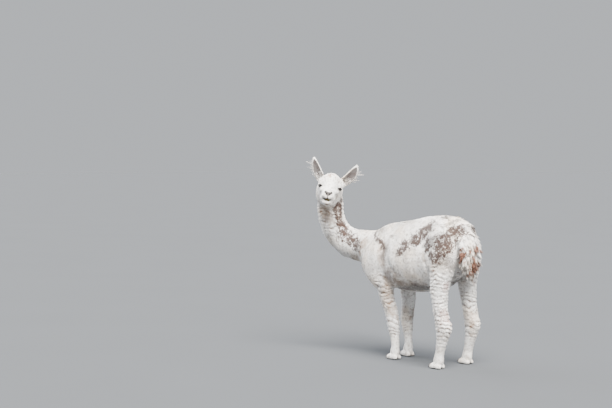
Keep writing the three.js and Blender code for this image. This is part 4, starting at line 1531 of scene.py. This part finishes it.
def head_coat():
    """Tufts about 4 mm long on the muzzle, 8 mm on the cheeks and 12 mm on the crown."""
    chance = np.random.default_rng(16)
    root, normal, way, part = roots(("head",), 31000, chance)
    q = to_head(root)
    twin = mirrored(q)
    lens, out = almond(twin, 2.0)
    bare = (lens < 0.5) & (out > 0) & (np.linalg.norm(twin - EYE_PLACE, axis=1) < 32)
    found = head_marks(root)
    keep = ~bare & (found["dark"] < BARE_DARK) & (found["leather"] < BARE_LEATHER)
    root, normal, way, part, q = root[keep], normal[keep], way[keep], part[keep], q[keep]
    back = fade(q[:, 1], -110, 10)
    high = fade(q[:, 2], 10, 70) * fade(q[:, 1], -60, -10)
    length = (3.6 + 4.4 * back + 4.5 * high) * vary(len(root), chance)
    width = (1.5 + 1.5 * back) * vary(len(root), chance)
    wave, strength = ridges(root)
    root = root + (WAVE_LIFT * wave * strength)[:, None] * normal
    made = tuft_mesh(root, normal, way, length, width, (30, 10), chance=chance, curl=0.5, sink=0.6)
    return coat_piece("coat_head", ("head",), root, normal, part, made)


head_coat()

# %% [markdown]
# The ears are fringed: fine long wisps stand off their outer edges, and short down
# covers the backs and the rims. The lashes are long, dark and droop over the eye.

# %% Ears and lashes
EAR_NAMES = ("ear_left", "ear_right")
HOLLOW_BARE = 3.0  # mm from an ear's hollow within which it has no down
BUNDLES = 46  # of wisps, on both ears together
RIM_CHANCE, INNER_CHANCE, DEEP_CHANCE = 0.15, 0.03, 0.05  # share of roots that grow a wisp
LASHES = 70  # to an eye


def ear_coat():
    """Down on the ears' backs, leaving the bare hollows to the skin."""
    chance = np.random.default_rng(17)
    root, normal, way, part = roots(EAR_NAMES, 9000, chance)
    hollow = np.min([wall(to_head(root), h) for h in EAR_HOLLOWS.values()], axis=0)
    keep = hollow > HOLLOW_BARE
    root, normal, way, part = root[keep], normal[keep], way[keep], part[keep]
    length, width = 6.0 * vary(len(root), chance), 2.0 * vary(len(root), chance)
    made = tuft_mesh(root, normal, way, length, width, (26, 10), chance=chance, sink=0.5)
    return coat_piece("coat_ears", EAR_NAMES, root, normal, part, made)


def ear_wisps():
    """Long thin wisps in bundles: bundle roots are scattered on the outer rims, and each
    wisp takes the length and the way out of the bundle that is nearest. Shorter hair
    stands in the hollow's lower end and along the inner rim."""
    chance = np.random.default_rng(18)
    root, normal, way, part = roots(EAR_NAMES, 30000, chance)
    q, n = to_head(root), normal @ AXES
    outward = n[:, 0] * np.sign(q[:, 0])
    hollow = np.min([wall(q, h) for h in EAR_HOLLOWS.values()], axis=0)
    rim = (outward > 0.6) & (chance.random(len(root)) < RIM_CHANCE * fade(q[:, 2], 34, 80))
    inner = (outward < -0.75) & (chance.random(len(root)) < INNER_CHANCE)
    deep = (hollow < 1) & (chance.random(len(root)) < DEEP_CHANCE * fade(q[:, 2], 90, 50))
    keep = rim | inner | deep
    root, normal, way, part, q = root[keep], normal[keep], way[keep], part[keep], q[keep]
    rim, deep = rim[keep], deep[keep]
    bundle = root[chance.permutation(np.flatnonzero(rim))[:BUNDLES]]
    near = np.linalg.norm(root[:, None] - bundle[None], axis=2).argmin(1)
    high = to_head(bundle)[:, 2]
    reach = chance.random(len(bundle)) ** 1.5 * fade(high, 45, 85) * fade(high, 152, 122)
    out = (np.sign(q[:, :1]) * [1.0, 0, 0] + [0, -0.15, 0.25]) @ AXES.T
    lean = np.where(rim, 0.4 + 0.6 * reach[near], 0.1)[:, None]
    way = unit((1 - lean) * way + lean * unit(out + 0.3 * (bundle[near] - root) / 10))
    length = np.where(rim, 7 + 34 * reach[near], np.where(deep, 13, 8)) * vary(len(root), chance)
    made = tuft_mesh(root, normal, way, length, 1.0 * vary(len(root), chance), (40, 8), rows=4,
                     chance=chance, curl=0.8, sink=0.5)
    return coat_piece("ear_wisps", EAR_NAMES, root, normal, part, made, soft=0.5,
                      more={mark: np.zeros(len(made[0])) for mark in MARK_NAMES})


def lashes():
    """A row of dark lashes along each eye's upper lid, out and down from its edge."""
    chance = np.random.default_rng(19)
    rows = []
    for side in SIDES.values():
        t = np.linspace(-0.9, 0.95, LASHES) + 0.01 * chance.standard_normal(LASHES)
        a, b = ALMOND
        radius = lens_radius(a, b)
        v = np.sqrt(np.maximum(radius**2 - (a * t) ** 2, 0)) - radius + b
        flat = EYE_PLACE + (a * t)[:, None] * EYE_U + (v + 0.4)[:, None] * EYE_V
        deep = np.sqrt(np.maximum((EYE + 1.6) ** 2 - (a * t) ** 2 - v**2, 30))
        rows.append((flat + deep[:, None] * GAZE) * [side, 1, 1])
    root = np.concatenate(rows)
    mirror = np.repeat([[side, 1, 1] for side in SIDES.values()], LASHES, axis=0)
    gaze, droop = GAZE * mirror, unit(0.5 * GAZE - 0.8 * EYE_V + 0.25 * EYE_U) * mirror
    root, gaze, droop = from_head(root), gaze @ AXES.T, droop @ AXES.T
    way = unit(droop - gaze * dot(droop, gaze)[:, None])
    made = tuft_mesh(root, gaze, way, 9.0 * vary(len(root), chance), 1.1 * vary(len(root), chance),
                     (75, 20), rows=3, chance=chance, curl=0.4, sink=0.5)
    part = np.full(len(root), PARTS.index("head"))
    return coat_piece("eyelashes", ("head",), root, gaze, part, made, soft=0.3,
                      more={"dark": np.ones(len(made[0]))})


ear_coat()
ear_wisps()
lashes()

# %% [markdown]
# The tail was left unshorn. It is a fan of soft locks that hang from its root. A lock is
# a bundle of tufts whose tips come together, so bundles are set out first, each with the
# point that it ends at, and the tufts near its root are drawn towards that point. Rust
# colours the ends of some locks.

# %% Tail
LOCKS = 420
LOCK_MEAN, LOCK_SPREAD, LOCK_MORE = 32, 10, 16  # length in mm, and how much more low down
LOCK_LEAST, LOCK_MOST = 18, 66
TAIL_BARE_Y, TAIL_BARE_Z = 372, 545  # no lock is rooted forward of this, or below this


def tail_coat():
    """Tufts some centimetres long over the tail's core. Each aims at its own lock's tip,
    with half of its own distance from the lock's root kept, so that locks taper."""
    chance = np.random.default_rng(20)
    root, normal, _, part = roots(("tail",), 13500, chance)
    keep = (root[:, 1] > TAIL_BARE_Y) & (root[:, 2] > TAIL_BARE_Z)
    root, normal, part = root[keep], normal[keep], part[keep]
    pick = chance.permutation(len(root))[:LOCKS]
    heart, side_on = root[pick], normal[pick]
    hang = np.tile([0.0, 0.1, -1.0], (LOCKS, 1))
    hang[:, 0] = (heart[:, 0] - TAIL_SWING) / 110
    hang = unit(hang + 0.20 * chance.standard_normal((LOCKS, 3)) + 0.20 * side_on)
    low = fade(heart[:, 2], 640, 570)
    reach = LOCK_MEAN + LOCK_SPREAD * chance.standard_normal(LOCKS) + LOCK_MORE * low
    reach = np.clip(reach, LOCK_LEAST, LOCK_MOST)
    reach = reach * (0.6 + 0.4 * fade(heart[:, 2], 800, 730))
    end = heart + hang * reach[:, None]
    near = np.linalg.norm(root[:, None] - heart[None], axis=2).argmin(1)
    stray = 2.0 * chance.standard_normal((len(root), 3))
    aim = end[near] + 0.5 * (root - heart[near]) + stray - root
    length = np.linalg.norm(aim, axis=1) * vary(len(root), chance, 0.75, 1.12)
    made = tuft_mesh(root, normal, unit(aim), length, 3.7 * vary(len(root), chance), (18, -4),
                     rows=4, chance=chance, curl=2.0, sink=1.0)
    tips = marks(end)["rust"][near]
    s, owner = made[2], made[4]
    return coat_piece("tail_locks", ("tail",), root, normal, part, made, soft=0.5,
                      more={"rust": tips[owner] * fade(s, 0.15, 0.5)})


tail_coat()

# %% [markdown]
# ## Floor, light and camera
# The light is that of a bright overcast day: a pale sky all round, one very soft lamp
# high up on the camera's side and a weaker one before the animal, so that the back shines
# and the belly lies in a soft shade. The floor's paint is worked out from them: it sends
# back as much light as the sky gives, so floor and sky meet without a line.

# %% Floor and light
FLOOR_HALF = 60.0  # metres from the animal to the floor's edge
SKY, SKY_STRENGTH = "#e2e6eb", 0.76
LAMPS = [  # name, height and turn of the light's source in degrees, strength, softness, colour
    ("high_soft_lamp", 60.0, 60.0, 19.5, 46.0, "#fffbf5"),
    ("far_soft_lamp", 38.0, 270.0, 5.0, 60.0, "#f4f7ff"),
]

sky = bpy.data.worlds.new("overcast sky")
sky.use_nodes = True
background = next(n for n in sky.node_tree.nodes if n.type == "BACKGROUND")
background.inputs["Color"].default_value = colour(SKY)
background.inputs["Strength"].default_value = SKY_STRENGTH
bpy.context.scene.world = sky

above = np.array(colour(SKY)[:3]) * SKY_STRENGTH
on_floor = above.copy()
for name, height, turn, strength, softness, hexed in LAMPS:
    data = bpy.data.lights.new(name, "SUN")
    data.energy, data.angle, data.color = strength, np.radians(softness), colour(hexed)[:3]
    made = bpy.data.objects.new(name, data)
    made.rotation_euler = (0, np.radians(90 - height), np.radians(turn))
    bpy.context.scene.collection.objects.link(made)
    on_floor += np.array(colour(hexed)[:3]) * strength * np.sin(np.radians(height)) / np.pi
FLOOR_PAINT = (*(above / on_floor), 1.0)
print("floor paint, linear:", [round(float(c), 3) for c in FLOOR_PAINT[:3]])

corners = np.array([[-1, -1, 0], [1, -1, 0], [1, 1, 0], [-1, 1, 0]]) * FLOOR_HALF / MM
floor = surface("floor", corners + MIDDLE, [[0, 1, 2, 3]])
paint, tree, shader = finish_of("matt floor paint", Roughness=1.0, Specular_IOR_Level=0.0)
place = add(tree, "ShaderNodeTexCoord").outputs["Object"]
broad = add(tree, "ShaderNodeTexNoise", {"Vector": place, "Scale": 1.1}).outputs["Fac"]
worn = add(tree, "ShaderNodeMapRange", {"Value": broad, "To Min": 0.97, "To Max": 1.03})
tint = add(tree, "ShaderNodeVectorMath", {0: FLOOR_PAINT[:3], 3: worn.outputs["Result"]},
           operation="SCALE").outputs[0]
tree.links.new(tint, shader.inputs["Base Color"])
floor.data.materials.append(paint)

# %% [markdown]
# The camera stands seven metres off, behind the animal's left hip and as high as its
# ears, with a long lens, looking very slightly down.

# %% The camera
CAMERA_AT, CAMERA_WAY, LENS = (5.183, 4.996, 1.203), (-0.668, -0.743, -0.0414), 72.47
SENSOR = 36.0  # mm across
lens = bpy.data.cameras.new("camera")
lens.lens, lens.sensor_width, lens.sensor_fit = LENS, SENSOR, "HORIZONTAL"
camera = bpy.data.objects.new("camera", lens)
camera.location = CAMERA_AT
camera.rotation_euler = Vector(CAMERA_WAY).to_track_quat("-Z", "Y").to_euler()
bpy.context.scene.collection.objects.link(camera)
bpy.context.scene.camera = camera
